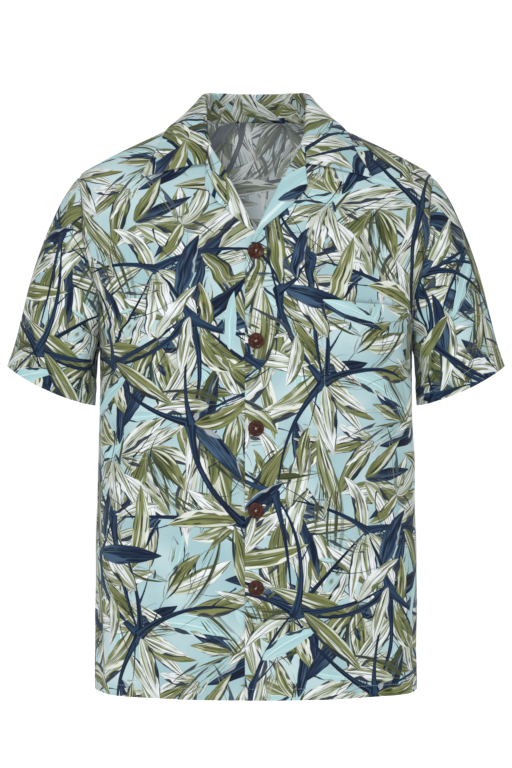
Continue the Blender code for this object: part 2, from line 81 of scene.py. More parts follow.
FRONT_EDGE = np.array([  # share of the way from the armpit's height to the neck, x, height
    (0.00, -LAP, ARMPIT), (0.14, -LAP, -0.2050), (0.25, -0.0110, -0.1600), (0.28, -0.0053, -0.1485),
    (0.33, 0.0015, -0.1340), (0.42, 0.0170, -0.1030), (0.53, 0.0357, -0.0660), (0.64, 0.0562, -0.0290),
    (0.73, 0.0634, -0.0120), (0.82, 0.0690, 0.0020), (0.91, 0.0735, 0.0090), (1.00, 0.0750, 0.0110),
])
print(len(TORSO), "rings and", len(FOLDS), "long folds")


# %% Reading a table and measuring the form
def reader(keys, values):
    """A curve through a table's rows that never swings past them."""
    order = np.argsort(keys)
    keys, values = np.asarray(keys, float)[order], np.asarray(values, float)[order]
    steps = np.diff(keys)
    slopes = np.diff(values) / steps
    product, total = slopes[:-1] * slopes[1:], slopes[:-1] + slopes[1:]
    inner = np.where(product > 0, 2 * product / np.where(total == 0, 1, total), 0)
    tangents = np.concatenate([slopes[:1], inner, slopes[-1:]])

    def read(at):
        at = np.clip(np.asarray(at, float), keys[0], keys[-1])
        i = np.clip(np.searchsorted(keys, at, side="right") - 1, 0, len(steps) - 1)
        t = (at - keys[i]) / steps[i]
        start = (1 + 2 * t) * (1 - t) ** 2 * values[i] + t * (1 - t) ** 2 * steps[i] * tangents[i]
        end = t * t * (3 - 2 * t) * values[i + 1] + t * t * (t - 1) * steps[i] * tangents[i + 1]
        return start + end

    return read


half_width, front_depth, back_depth = (reader(TORSO[:, 0], TORSO[:, k]) for k in (1, 2, 3))
armhole_front, armhole_back = (reader(ARMHOLE[:, 0], ARMHOLE[:, k]) for k in (1, 2))
edge_x, edge_height = (reader(FRONT_EDGE[:, 0], FRONT_EDGE[:, k]) for k in (1, 2))


def ease(t):
    t = np.clip(t, 0, 1)
    return t * t * (3 - 2 * t)


def unit(v):
    return v / np.maximum(np.linalg.norm(v, axis=-1, keepdims=True), 1e-12)


# %% Shape the form
def smooth_torso(angle, height):
    """The form with its long folds. The angle is 0 in front and a quarter turn at the wearer's left."""
    depth = np.where(np.cos(angle) > 0, front_depth(height), back_depth(height))
    across = np.abs(np.sin(angle) / half_width(height)) ** SQUARENESS
    reach = (across + np.abs(np.cos(angle) / depth) ** SQUARENESS) ** (-1 / SQUARENESS)
    for middle, lean, spread, deep, low, high in FOLDS:
        rise = (height - low) / (high - low)
        away = (np.degrees(angle) - middle - lean * rise + 180) % 360 - 180
        reach = reach + deep * ease((high - height) / FOLD_FADE) * np.exp(-((away / spread) ** 2))
    return np.stack([reach * np.sin(angle), -reach * np.cos(angle), height + 0 * angle], -1)


def form_out(angle, height, form=smooth_torso):
    """Outward normals of the form."""
    step = 0.001
    around = form(angle + step, height) - form(angle - step, height)
    up = form(angle, height + step) - form(angle, height - step)
    return unit(np.cross(around, up))


def angle_at(x, height):
    """The angle at which the front of the form has this x."""
    share = np.maximum(1 - np.abs(x / half_width(height)) ** SQUARENESS, 0) ** (1 / SQUARENESS)
    return np.arctan2(x, front_depth(height) * share)


def armhole_angle(height, side):
    """The angle of the armhole's front edge (side 1) or back edge (side -1)."""
    y = side * (armhole_front(height) if side > 0 else armhole_back(height))
    depth = front_depth(height) if side > 0 else back_depth(height)
    share = np.maximum(1 - np.abs(y / depth) ** SQUARENESS, 0) ** (1 / SQUARENESS)
    return np.arctan2(half_width(height) * share, y)


def armhole_height(share):
    return ARMPIT + (SHOULDER_TIP - ARMPIT) * (1 - np.cos(np.pi * share)) / 2


print("chest about", round(float(half_width(-0.2) * 2), 3), "m wide")

# %% [markdown]
# ## Creases
# Cloth that hangs from the shoulders is never smooth. It pulls from the armpits, drops in soft
# folds below the chest and breaks a little above the hem. Each crease is placed as a line on
# the form with its own width and depth. The sides and back have theirs too. A cloth
# simulation would fold by itself, but then no fold could be moved on its own.

# %% Place the creases
CREASES = (  # angle and height of one end, of the other end, width and depth in metres
    (84, -0.262, 50, -0.352, 0.0110, -0.0034), (76, -0.235, 41, -0.292, 0.0120, 0.0028),
    (80, -0.300, 61, -0.420, 0.0130, 0.0030), (66, -0.205, 36, -0.238, 0.0090, -0.0018),
    (58, -0.120, 44, -0.215, 0.0120, -0.0022), (24, -0.385, 63, -0.440, 0.0140, 0.0016),
    (74, -0.470, 42, -0.520, 0.0120, -0.0020), (16, -0.490, 46, -0.585, 0.0150, 0.0018),
    (58, -0.590, 64, -0.686, 0.0090, 0.0034), (74, -0.570, 79, -0.686, 0.0110, -0.0036),
    (36, -0.600, 31, -0.686, 0.0100, 0.0024), (46, -0.640, 47, -0.686, 0.0080, -0.0022),
    (19, -0.635, 17, -0.686, 0.0090, 0.0014), (27, -0.250, 22, -0.330, 0.0140, 0.0012),
    (-85, -0.265, -54, -0.338, 0.0120, -0.0036), (-78, -0.238, -44, -0.302, 0.0100, 0.0024),
    (-81, -0.312, -58, -0.440, 0.0140, 0.0032), (-64, -0.198, -33, -0.244, 0.0100, -0.0020),
    (-55, -0.112, -40, -0.200, 0.0130, -0.0020), (-22, -0.400, -60, -0.468, 0.0130, 0.0018),
    (-72, -0.450, -38, -0.486, 0.0130, -0.0018), (-14, -0.520, -42, -0.570, 0.0160, 0.0016),
    (-61, -0.600, -66, -0.686, 0.0100, 0.0030), (-76, -0.560, -73, -0.686, 0.0120, -0.0034),
    (-34, -0.610, -37, -0.686, 0.0110, 0.0022), (-24, -0.250, -30, -0.345, 0.0150, 0.0013),
    (-50, -0.520, -40, -0.610, 0.0120, -0.0018), (-20, -0.300, -40, -0.330, 0.0110, -0.0012),
    (96, -0.262, 128, -0.345, 0.0120, -0.0036), (102, -0.240, 138, -0.290, 0.0110, 0.0028),
    (100, -0.320, 122, -0.440, 0.0140, 0.0030), (118, -0.190, 150, -0.225, 0.0110, -0.0022),
    (122, -0.110, 138, -0.200, 0.0130, -0.0024), (150, -0.150, 176, -0.230, 0.0160, 0.0018),
    (108, -0.470, 142, -0.520, 0.0130, -0.0022), (165, -0.430, 135, -0.500, 0.0150, 0.0022),
    (112, -0.590, 108, -0.686, 0.0110, 0.0032), (128, -0.575, 133, -0.686, 0.0120, -0.0034),
    (152, -0.600, 149, -0.686, 0.0110, 0.0026), (174, -0.560, 178, -0.686, 0.0130, -0.0026),
    (-97, -0.264, -126, -0.352, 0.0110, -0.0034), (-103, -0.242, -140, -0.300, 0.0120, 0.0026),
    (-101, -0.330, -120, -0.455, 0.0130, 0.0030), (-119, -0.196, -152, -0.236, 0.0110, -0.0020),
    (-124, -0.118, -140, -0.205, 0.0120, -0.0024), (-152, -0.140, -172, -0.240, 0.0150, 0.0016),
    (-110, -0.480, -146, -0.535, 0.0140, -0.0022), (-163, -0.440, -138, -0.480, 0.0140, 0.0020),
    (-110, -0.600, -107, -0.686, 0.0100, 0.0030), (-130, -0.580, -134, -0.686, 0.0120, -0.0030),
    (-155, -0.610, -151, -0.686, 0.0120, 0.0024), (-172, -0.300, -150, -0.350, 0.0150, -0.0016),
)
RIPPLES = (  # how fast it runs round and up, where it starts, depth
    (31, 47, 0.4, 0.00030), (-23, 66, 1.9, 0.00026), (57, -28, 3.1, 0.00022), (74, 83, 5.2, 0.00014),
)
RADIUS = 0.165  # of the form, roughly, to turn angles into distances
CALM_ANGLE = (5, 12)  # no creases this near the closing, in degrees, and full ones that much on
CALM_TOP, CALM_FADE = -0.05, 0.06
print(len(CREASES), "creases on the body")


# %% Crease the form
def crease_lines(x, y, lines):
    """How far a table of creases moves the cloth at places given in metres."""
    total = 0 * x
    for x0, y0, x1, y1, width, deep in lines:
        run = np.array([x1 - x0, y1 - y0])
        length = np.hypot(*run)
        along = np.clip(((x - x0) * run[0] + (y - y0) * run[1]) / length ** 2, 0, 1)
        off = np.hypot(x - x0 - run[0] * along, y - y0 - run[1] * along)
        widen = 0.75 + 0.5 * along
        total = total + deep * np.sin(np.pi * along) ** 0.7 * np.exp(-((off / (width * widen)) ** 2))
    return total


def body_creases(angle, height):
    """How far the creases and ripples move the body's cloth in or out."""
    wrapped = (np.degrees(angle) + 180) % 360 - 180
    total = 0 * angle
    scale = math.radians(1) * RADIUS
    for turn in (-360, 0, 360):
        lines = [(a * scale, b, c * scale, d, w, e) for a, b, c, d, w, e in CREASES]
        total = total + crease_lines((wrapped + turn) * scale, height, lines)
    for around, up, start, deep in RIPPLES:
        phase = around * RADIUS * angle + up * height + start + 1.3 * np.sin(9 * height)
        total = total + deep * np.sin(phase)
    calm = ease((np.abs(wrapped) - CALM_ANGLE[0]) / CALM_ANGLE[1]) * ease((CALM_TOP - height) / CALM_FADE)
    return total * calm


def torso(angle, height):
    """The form with its creases."""
    base = smooth_torso(angle, height)
    return base + form_out(angle, height) * body_creases(angle, height)[..., None]


def torso_out(angle, height):
    return form_out(angle, height, torso)


deepest = max(abs(line[-1]) for line in CREASES)
print("the deepest is", round(deepest * 1000, 1), "mm")

# %% [markdown]
# ## Walls of cloth
# A grid of points becomes cloth in three steps. The points move a little way out and a little
# way in along their normals to make two skins, and strips of faces close the edges. A sewn edge
# is drawn down into its seam, and the cloth beside the stitches puckers slightly. A Solidify
# modifier could give the wall, but a hem has three layers where the rest has one, and the two
# skins need finishes of their own.

# %% Measure grids and sink their seams
CLOTH = 0.0007
SEAM_SINK, SEAM_REACH = 0.0009, 0.0024
PUCKER_DEPTH, PUCKER_LENGTH, PUCKER_REACH = 0.00028, 0.0125, 0.0100
print("cloth", CLOTH * 1000, "mm thick")


def grid_out(points, closed=False):
    """Outward normals of a grid of points."""
    if closed:
        across = np.roll(points, -1, 1) - np.roll(points, 1, 1)
    else:
        across = np.gradient(points, axis=1)
    return unit(np.cross(across, np.gradient(points, axis=0)))


def run_from(points, axis, last):
    """Distance of each point from the first or last line of its grid."""
    steps = np.linalg.norm(np.diff(points, axis=axis), axis=-1)
    pad = [(0, 0), (0, 0)]
    pad[axis] = (1, 0)
    total = np.pad(np.cumsum(steps, axis), pad)
    return np.take(total, [-1], axis) - total if last else total


def sewn(points, out, edges):
    """Sinks the named edges into their seams: 'left', 'right', 'low' and 'high' in the grid."""
    move = np.zeros(points.shape[:2])
    for edge in edges:
        axis, last = {"left": (1, False), "right": (1, True), "low": (0, False), "high": (0, True)}[edge]
        off = run_from(points, axis, last)
        along = run_from(points, 1 - axis, False)
        wave = np.sin(along * 2 * np.pi / PUCKER_LENGTH + 2.2 * np.sin(along * 31))
        move -= SEAM_SINK * np.exp(-((off / SEAM_REACH) ** 2))
        move += PUCKER_DEPTH * wave * np.exp(-((off / PUCKER_REACH) ** 2)) * ease(off / 0.002)
    return points + out * move[..., None]


def quads(grid):
    """The four corners of every square of a grid, in order round it."""
    return np.stack([grid[:-1, :-1], grid[:-1, 1:], grid[1:, 1:], grid[1:, :-1]], 2).reshape(
        (-1, 4) + grid.shape[2:]
    )


def edge_strip(lines, paint, backwards):
    """Corners and print of the strip that closes one edge of a shell."""
    (outer, inner), (first, second) = lines, paint
    corners = np.stack([outer[:-1], inner[:-1], inner[1:], outer[1:]], 1)
    print_at = np.stack([first, first, second, second], 1)
    if backwards:
        return corners[:, ::-1], print_at[:, ::-1]
    return corners, print_at


# %% Build a shell
def shell(name, points, out, thick, flat, print_at, closed=False, lined=None):
    """A thin closed shell. Its face carries the print and its inside the paler reverse.

    lined marks the squares whose inside shows the face of the cloth, as at a turned-up hem."""
    rows, columns = points.shape[:2]
    thick = np.broadcast_to(thick, (rows, columns))[..., None]
    vertices = np.concatenate([points + out * thick / 2, points - out * thick / 2]).reshape(-1, 3)
    index = np.arange(rows * columns).reshape(rows, columns)
    if closed:
        index = np.concatenate([index, index[:, :1]], 1)
    inner = index + rows * columns
    spans = index.shape[1] - 1
    faces, paints, uvs, slots, flats = [], [], [], [], []

    def add(corners, paint, uv, slot, sharp):
        faces.append(corners)
        paints.append(paint)
        uvs.append(uv)
        slots.append(np.full(len(corners), slot) if np.isscalar(slot) else slot)
        flats.append(np.full(len(corners), sharp))

    face_uv = quads(flat)
    lined = np.zeros((rows - 1) * spans, bool) if lined is None else lined.reshape(-1)
    turned = [0, 3, 2, 1]
    add(quads(index), print_at, face_uv, 0, False)
    add(quads(inner)[:, turned], print_at[:, turned], face_uv[:, turned], np.where(lined, 0, 1), False)
    squares = np.arange((rows - 1) * spans).reshape(rows - 1, spans)
    ends = [(index[0], inner[0], squares[0], (0, 1), False)]
    ends += [(index[-1], inner[-1], squares[-1], (3, 2), True)]
    if not closed:
        ends += [(index[:, 0], inner[:, 0], squares[:, 0], (0, 3), True)]
        ends += [(index[:, -1], inner[:, -1], squares[:, -1], (1, 2), False)]
    for top, bottom, square, (a, b), backwards in ends:
        corners, paint = edge_strip((top, bottom), (print_at[square, a], print_at[square, b]), backwards)
        _, uv = edge_strip((top, bottom), (face_uv[square, a], face_uv[square, b]), backwards)
        add(corners, paint, uv, 0, True)

    mesh = bpy.data.meshes.new(name)
    corners = np.concatenate(faces)
    mesh.vertices.add(len(vertices))
    mesh.vertices.foreach_set("co", vertices.ravel())
    mesh.loops.add(corners.size)
    mesh.loops.foreach_set("vertex_index", corners.ravel().astype(np.int32))
    mesh.polygons.add(len(corners))
    mesh.polygons.foreach_set("loop_start", np.arange(len(corners), dtype=np.int32) * 4)
    mesh.polygons.foreach_set("material_index", np.concatenate(slots).astype(np.int32))
    mesh.update(calc_edges=True)
    mesh.polygons.foreach_set("use_smooth", ~np.concatenate(flats))
    layer = mesh.uv_layers.new(name="cloth")
    layer.data.foreach_set("uv", np.concatenate(uvs).ravel())
    paint = np.concatenate(paints)
    for number in range(paint.shape[2]):
        ink = mesh.attributes.new(f"ink_{number + 1}", "FLOAT_VECTOR", "CORNER")
        ink.data.foreach_set("vector", np.ascontiguousarray(paint[:, :, number]).ravel())
    mesh.validate()
    made = bpy.data.objects.new(name, mesh)
    bpy.context.scene.collection.objects.link(made)
    return made


# %% [markdown]
# ## Laying a piece out flat
# A print is made on flat cloth before it is cut, so each curved grid is laid out flat again: the
# points start roughly in place and then push and pull on their neighbours until every spacing is
# the one it has on the shirt. That gives the size of the cut, and where each square was printed.
# Blender's unwrap tools could lay it out too, but they don't keep every piece at its true size.

# %% Flatten a grid
FLAT_LINES = 34
FLAT_STEPS = 700
FLAT_HASTE = 1.4  # how far past its neighbours' mean a point is moved, to settle sooner


def developed(grid):
    """A first layout: each row unrolled outwards from the middle column, square to the columns."""
    upward = unit(np.gradient(grid, axis=0))
    step = np.diff(grid, axis=1)
    along = (step * (upward[:, 1:] + upward[:, :-1]) / 2).sum(-1)
    aside = np.sqrt(np.maximum((step**2).sum(-1) - along**2, 0))
    flat = np.pad(np.cumsum(np.stack([aside, along], -1), 1), ((0, 0), (1, 0), (0, 0)))
    middle = grid.shape[1] // 2
    flat -= flat[:, middle : middle + 1]
    flat[..., 1] += run_from(grid, 0, False)[:, middle : middle + 1]
    return flat


def flatten(points):
    """Where each point of a grid lies when its cloth is laid out flat."""
    rows, columns = points.shape[:2]
    pick_rows = np.unique(np.linspace(0, rows - 1, min(rows, FLAT_LINES)).round().astype(int))
    pick_columns = np.unique(np.linspace(0, columns - 1, min(columns, FLAT_LINES)).round().astype(int))
    coarse = points[np.ix_(pick_rows, pick_columns)]
    flat = developed(coarse)
    low, high, keep = slice(None, -1), slice(1, None), slice(None)
    near, far = slice(None, -2), slice(2, None)
    links = [((keep, low), (keep, high)), ((low, keep), (high, keep))]
    links += [((low, low), (high, high)), ((low, high), (high, low))]
    links += [((keep, near), (keep, far)), ((near, keep), (far, keep))]
    lengths = [np.linalg.norm(coarse[b] - coarse[a], axis=-1) for a, b in links]
    for _ in range(FLAT_STEPS):
        move, count = np.zeros_like(flat), np.zeros(flat.shape[:2] + (1,))
        for (a, b), length in zip(links, lengths):
            gap = flat[b] - flat[a]
            reach = np.maximum(np.linalg.norm(gap, axis=-1), 1e-6)
            push = gap * ((reach - length) / reach / 2)[..., None]
            move[a] += push
            move[b] -= push
            count[a] += 1
            count[b] += 1
        flat += FLAT_HASTE * move / count
    across = run_from(points, 1, False)[rows // 2]
    upward = run_from(points, 0, False)[:, columns // 2]
    part = np.array([[np.interp(across, across[pick_columns], line[:, k]) for k in (0, 1)] for line in flat])
    whole = [[np.interp(upward, upward[pick_rows], part[:, k, c]) for c in range(columns)] for k in (0, 1)]
    return np.array(whole).transpose(2, 1, 0)


def cut_size(flat):
    """Width, length and area of a flat piece, in metres."""
    corner = quads(flat)
    a, b = corner[:, 2] - corner[:, 0], corner[:, 3] - corner[:, 1]
    area = float(np.abs(a[:, 0] * b[:, 1] - a[:, 1] * b[:, 0]).sum() / 2)
    width, length = np.ptp(flat.reshape(-1, 2), axis=0)
    return float(width), float(length), min(area, float(width * length))


# %% [markdown]
# ## The print
# The cloth has a dense tropical print: dark blue branches, and long narrow leaves in fans and
# sprigs, in white, olive, dark blue and pale sea green, over a sea green ground. It is drawn
# fresh here as a repeat. Every leaf is one curved ribbon with a place, a heading, a length, a
# half width, a bend and a kind. A painted picture could carry the print, but leaves that are
# numbers stay sharp however near the camera comes, and each can be changed on its own. Branches
# run between scattered hubs and bear leaves, and fans of leaves then fill what is still bare.

# %% Choose the kinds and sizes of the leaves
TILE = np.array([0.64, 0.60])
WHITE, OLIVE, NAVY, SEA, OUTLINE, BRANCH, BRUSH, FERN = range(8)
LEAF_KINDS = (WHITE, OLIVE, NAVY, SEA, OUTLINE, FERN)
LEAF_SHARES = (0.36, 0.26, 0.13, 0.05, 0.10, 0.10)
HUB_COLUMNS, HUB_ROWS, FILL_FANS = 6, 5, 34
DABS, BRUSH_LINES = 90, 110
LONG_LEAF, FAN_LEAF, WIDEST_HALF = 0.112, 0.095, 0.0125
LEAF_SPACING = 0.022  # of the leaves along a branch
draw = np.random.default_rng(2711)
leaves = []
CELL = 0.010  # of the map that keeps count of how much of the repeat is covered
covered = np.zeros(np.round(TILE[::-1] / CELL).astype(int))
print("a map of", covered.shape, "cells keeps count of the bare places")


# %% Lay one leaf, and a fan of them
def along_arc(at, heading, length, bend, share):
    """Place and heading part of the way along a bent stroke."""
    turn = bend * share
    chord = length * share * np.sinc(turn / 2 / np.pi)
    middle = heading + turn / 2
    return np.array(at) + chord * np.array([math.cos(middle), math.sin(middle)]), heading + turn


def leaf(at, heading, length, half, bend, kind, rank):
    """Adds a leaf. A higher rank lies on top of a lower one."""
    leaves.append((*at, heading, length, half, bend, kind + draw.uniform(0.04, 0.96), rank))
    if kind in (OUTLINE, BRUSH, FERN):
        return
    for share in np.arange(0.1, 1.0, CELL / length):
        place, _ = along_arc(at, heading, length, bend, share)
        column, row = np.floor(place / CELL).astype(int)
        covered[row % covered.shape[0], column % covered.shape[1]] += 2 * half / CELL


def any_leaf(at, heading, longest=LONG_LEAF, rank=None):
    """Adds a leaf of a kind, size and bend chosen by chance."""
    kind = draw.choice(LEAF_KINDS, p=LEAF_SHARES)
    length = draw.uniform(0.50, 1.0) * longest
    half = min(length * draw.uniform(0.100, 0.175), WIDEST_HALF)
    bend = draw.normal(0, 0.55)
    leaf(at, heading, length, half, bend, kind, draw.uniform(0.6, 2.9) if rank is None else rank)


def fan(at, heading, count, spread, longest, rank):
    """Leaves that spread from one place like the fingers of a hand."""
    for k in range(count):
        turn = spread * (2 * (k + 0.5) / count - 1) + draw.normal(0, 0.10)
        start = np.array(at) + 0.004 * np.array([math.cos(heading + turn), math.sin(heading + turn)])
        any_leaf(start, heading + turn, longest, rank + draw.uniform(0, 0.9))


# %% Grow branches and fill the bare places
def arm(hub, across, half):
    """A branch that leaves a hub thick, thins as it bends over towards another, and bears leaves."""
    bend = draw.choice((-1, 1)) * draw.uniform(0.15, 1.1)
    length = np.hypot(*across) / np.sinc(bend / 2 / np.pi) * draw.uniform(0.80, 1.05)
    heading = math.atan2(across[1], across[0]) - bend / 2
    leaf(hub, heading, length, half, bend, BRANCH, draw.uniform(2.2, 2.8))
    side = draw.choice((-1, 1))
    for share in np.arange(0.12, 1.0, LEAF_SPACING / length):
        side = -side
        place, now = along_arc(hub, heading, length, bend, share + draw.normal(0, 0.03))
        turn = now + side * draw.uniform(0.35, 0.85)
        if draw.random() < 0.22:
            reach, curl = draw.uniform(0.035, 0.060), -side * draw.uniform(0.2, 0.9)
            leaf(place, turn, reach, draw.uniform(0.0014, 0.0026), curl, BRANCH, draw.uniform(2.0, 2.6))
            place, turn = along_arc(place, turn, reach, curl, 0.9)
        any_leaf(place, turn)


def emptiest():
    """The middle of the barest part of the repeat."""
    near = sum(np.roll(covered, (a, b), (0, 1)) for a in (-2, -1, 0, 1, 2) for b in (-2, -1, 0, 1, 2))
    row, column = np.unravel_index(np.argmin(near + draw.uniform(0, 0.5, near.shape)), near.shape)
    return (np.array([column, row]) + 0.5) * CELL


def repeat():
    spread = [(column + 0.5 * (row % 2), row) for row in range(HUB_ROWS) for column in range(HUB_COLUMNS)]
    hubs = (np.array(spread) + draw.uniform(0.1, 0.9, (len(spread), 2))) / (HUB_COLUMNS, HUB_ROWS) * TILE
    for hub in hubs:
        apart = (hubs - hub + TILE / 2) % TILE - TILE / 2
        near = np.argsort(np.hypot(*apart.T))[1:6]
        for other in draw.choice(near, draw.integers(2, 5), replace=False):
            arm(hub, apart[other], draw.uniform(0.0058, 0.0088))
        fan(hub, draw.uniform(-np.pi, np.pi), 3, 1.1, FAN_LEAF, draw.uniform(1.0, 2.3))
    for _ in range(FILL_FANS):
        heading = draw.uniform(-np.pi, np.pi)
        at = emptiest() - 0.030 * np.array([math.cos(heading), math.sin(heading)])
        fan(at, heading, draw.integers(3, 7), draw.uniform(0.5, 1.3), FAN_LEAF, draw.uniform(0.1, 1.6))
    for _ in range(DABS):
        kind = draw.choice((WHITE, OLIVE, NAVY, SEA), p=(0.4, 0.2, 0.3, 0.1))
        length = draw.uniform(0.012, 0.028)
        at, heading = draw.uniform(0, 1, 2) * TILE, draw.uniform(-np.pi, np.pi)
        half = length * draw.uniform(0.08, 0.20)
        leaf(at, heading, length, half, draw.normal(0, 0.5), kind, draw.uniform(0, 3))
    for _ in range(BRUSH_LINES):
        at, heading = draw.uniform(0, 1, 2) * TILE, draw.uniform(-np.pi, np.pi)
        length, half = draw.uniform(0.030, 0.070), draw.uniform(0.0006, 0.0013)
        bend = draw.choice((-1, 1)) * draw.uniform(0.5, 1.6)
        leaf(at, heading, length, half, bend, BRUSH, draw.uniform(1.2, 3.0))


repeat()
leaves = np.array(sorted(leaves, key=lambda item: -item[-1]))
print(len(leaves), "leaves and strokes in a repeat of", TILE, "m")

# %% [markdown]
# ## Which leaves lie where
# A material can't search hundreds of leaves for each point that it colours. The search is done
# here instead, once for each small square of cloth. Its four corners are told where they lie on
# each of the topmost leaves over that square, and the material then draws those alone. A leaf
# that hides all the rest ends the search early. Pieces can have leaves of their own on top.

# %% Find the leaves over each square of cloth
LAYERS = 6
BARE = (-2.0, 3.0, -1.0)  # a place on no leaf
LEAF_SKEW, LEAF_FULL = 0.8, 0.92
STROKE_THIN, STROKE_FADE, STROKE_TIP = 0.44, 6.5, 0.45


def leaf_shape(s):
    """How wide a leaf is along its length, from 0 to 1."""
    s = np.clip(s, 0, 1) ** LEAF_SKEW
    return np.maximum(4 * s * (1 - s), 0) ** LEAF_FULL


def stroke_shape(s):
    """How wide a branch or a brush stroke is: thick where it starts, and drawn out to a tip."""
    s = np.clip(s, 0, 1)
    return (STROKE_THIN + (1 - STROKE_THIN) * np.exp(-STROKE_FADE * s)) * (1 - s) ** STROKE_TIP


def leaf_place(corners, item):
    """Where points lie on a leaf: 0 to 1 along it, and -1 to 1 across it."""
    x, y, heading, length, half, bend, code, _ = item
    bend = bend if abs(bend) > 0.02 else 0.02
    k = bend / length
    dx, dy = corners[..., 0] - x, corners[..., 1] - y
    ahead = dx * math.cos(heading) + dy * math.sin(heading)
    aside = dy * math.cos(heading) - dx * math.sin(heading)
    s = np.arctan2(k * ahead, 1 - k * aside) / k / length
    t = (1 - np.hypot(k * ahead, 1 - k * aside)) / k / half
    return s, t


def printed(flat, turn, shift, extra=()):
    """The leaves over each square of a flat piece cut from the cloth at this turn and place."""
    turn = math.radians(turn)
    spin = np.array([[math.cos(turn), -math.sin(turn)], [math.sin(turn), math.cos(turn)]])
    corners = quads(flat) @ spin.T + np.array(shift)
    middle = corners.mean(1)
    low, high = middle.min(0), middle.max(0)
    result = np.empty((len(corners), 4, LAYERS, 3), np.float32)
    result[:] = BARE
    used, hidden = np.zeros(len(corners), int), np.zeros(len(corners), bool)
    first, last = (np.floor(edge / TILE).astype(int) for edge in (low - 0.3, high + 0.3))
    work = []
    for item in extra:
        at = spin @ np.array(item[:2]) + shift
        work.append(((*at, item[2] + turn, *item[3:]), (0, 0)))
    steps = [(a, b) for a in range(first[0], last[0] + 1) for b in range(first[1], last[1] + 1)]
    work += [(item, step) for item in leaves for step in steps]
    for item, step in work:
        item = np.array(item, float)
        item[:2] += TILE * step
        core, _ = along_arc(item[:2], item[2], item[3], item[5], 0.5)
        reach = item[3] * 0.52 + item[4] * 1.5 + 0.003
        if (core < low - reach).any() or (core > high + reach).any():
            continue
        near = (np.abs(middle[:, 0] - core[0]) < reach) & (np.abs(middle[:, 1] - core[1]) < reach)
        near = np.nonzero(near & (used < LAYERS) & ~hidden)[0]
        if not len(near):
            continue
        s, t = leaf_place(corners[near], item)
        kind = int(item[6])
        wide = (leaf_shape if kind not in (BRANCH, BRUSH) else stroke_shape)(s)
        margin = 0.0013 / item[4]
        hit = (s.max(1) > 0) & (s.min(1) < 1) & ((np.abs(t) - 1.12 * wide).min(1) < margin)
        crossing = (t.max(1) > 0) & (t.min(1) < 0) & (s.max(1) > 0) & (s.min(1) < 1)
        hit |= crossing & (np.abs(t).max(1) < 4)
        cells, s, t = near[hit], s[hit], t[hit]
        result[cells, :, used[cells], 0] = s
        result[cells, :, used[cells], 1] = t
        result[cells, :, used[cells], 2] = item[6]
        used[cells] += 1
        if kind in (WHITE, OLIVE, NAVY, SEA, BRANCH):
            deep = ((s > 0.05) & (s < 0.95) & (np.abs(t) < 0.80 * wide[hit])).all(1)
            hidden[cells[deep]] = True
    return result


print("each square of cloth can show", LAYERS, "leaves")

# %% [markdown]
# ## Fronts and back
# The fronts overlap down the middle, the wearer's left on top, and open at the neck into a V.
# Every row of a front's grid runs round the body from its inner edge to its side seam, or higher
# up to the armhole. The back's rows run from one side to the other. A plane could be wrapped on
# the form with a Shrinkwrap modifier. The grid is laid on it directly, because its rows then
# follow the hem and its columns the front edge, where the layers and the stitches lie.


# %% Rows and columns
def shares(count, fine):
    """Shares from 0 to 1, with extra lines close to each end for edges and seams."""
    ends = np.array(fine)
    return np.concatenate([ends, np.linspace(ends[-1], 1 - ends[-1], count)[1:-1], (1 - ends)[::-1]])


FINE = (0.0, 0.002, 0.006, 0.012, 0.020)
HEM_ROWS = HEM + np.array([0.0, 1.0, 4.0, 8.0, 11.2, 12.6, 13.5, 14.4, 15.8, 17.5]) / 1000
STITCH_UP = 0.0135
HEM_DEPTH = 0.0158
FRONT_GRID = (158, 104, 104)  # rows below the armpit and above it, and columns
BACK_GRID = (130, 84, 88)
LAP_LIFT = 0.00105
print("the hem is", round(HEM_DEPTH * 1000, 1), "mm deep")


# %% Place the points of the fronts and back
def half_gap(height):
    """Half the gap between two pieces at their seam, as an angle."""
    return 0.00015 / half_width(height)


def body_heights(count):
    """Heights from the hem to the armpit, close together in the hem."""
    return np.concatenate([HEM_ROWS, np.linspace(HEM_ROWS[-1], ARMPIT, count)[1:-1]])


def front_places(rows, yoke_rows, columns):
    """Angle and height of every point of a front, taken as if it were the wearer's left one."""
    across = shares(columns, FINE)
    low = body_heights(rows)
    up = 1 - shares(yoke_rows, (0.0, 0.004, 0.010))[::-1]
    height = np.concatenate([low, edge_height(up)])
    above = np.minimum(angle_at(edge_x(up), edge_height(up)), np.pi / 2 - half_gap(0.011))
    first = np.concatenate([angle_at(-LAP, low), above])
    outer = np.concatenate([low, armhole_height(up)])
    seam = armhole_angle(armhole_height(up), 1)
    last = np.concatenate([np.pi / 2 - half_gap(low), seam - half_gap(armhole_height(up))])
    angles = first[:, None] + (last - first)[:, None] * across
    return angles, height[:, None] + (outer - height)[:, None] * across


def lap_out(x, on_top):
    """The front on top stands a little off the form at the closing, and the one below is let in."""
    fade = 1 - ease((np.abs(x) - LAP) / (LAP_FADE - LAP))
    return LAP_LIFT * fade * (1 if on_top else -1)


def front_point(angle, height, side, on_top):
    """A place on a front, with its creases and its lap."""
    point = torso(side * angle, height)
    return point + torso_out(side * angle, height) * lap_out(point[..., 0], on_top)[..., None]


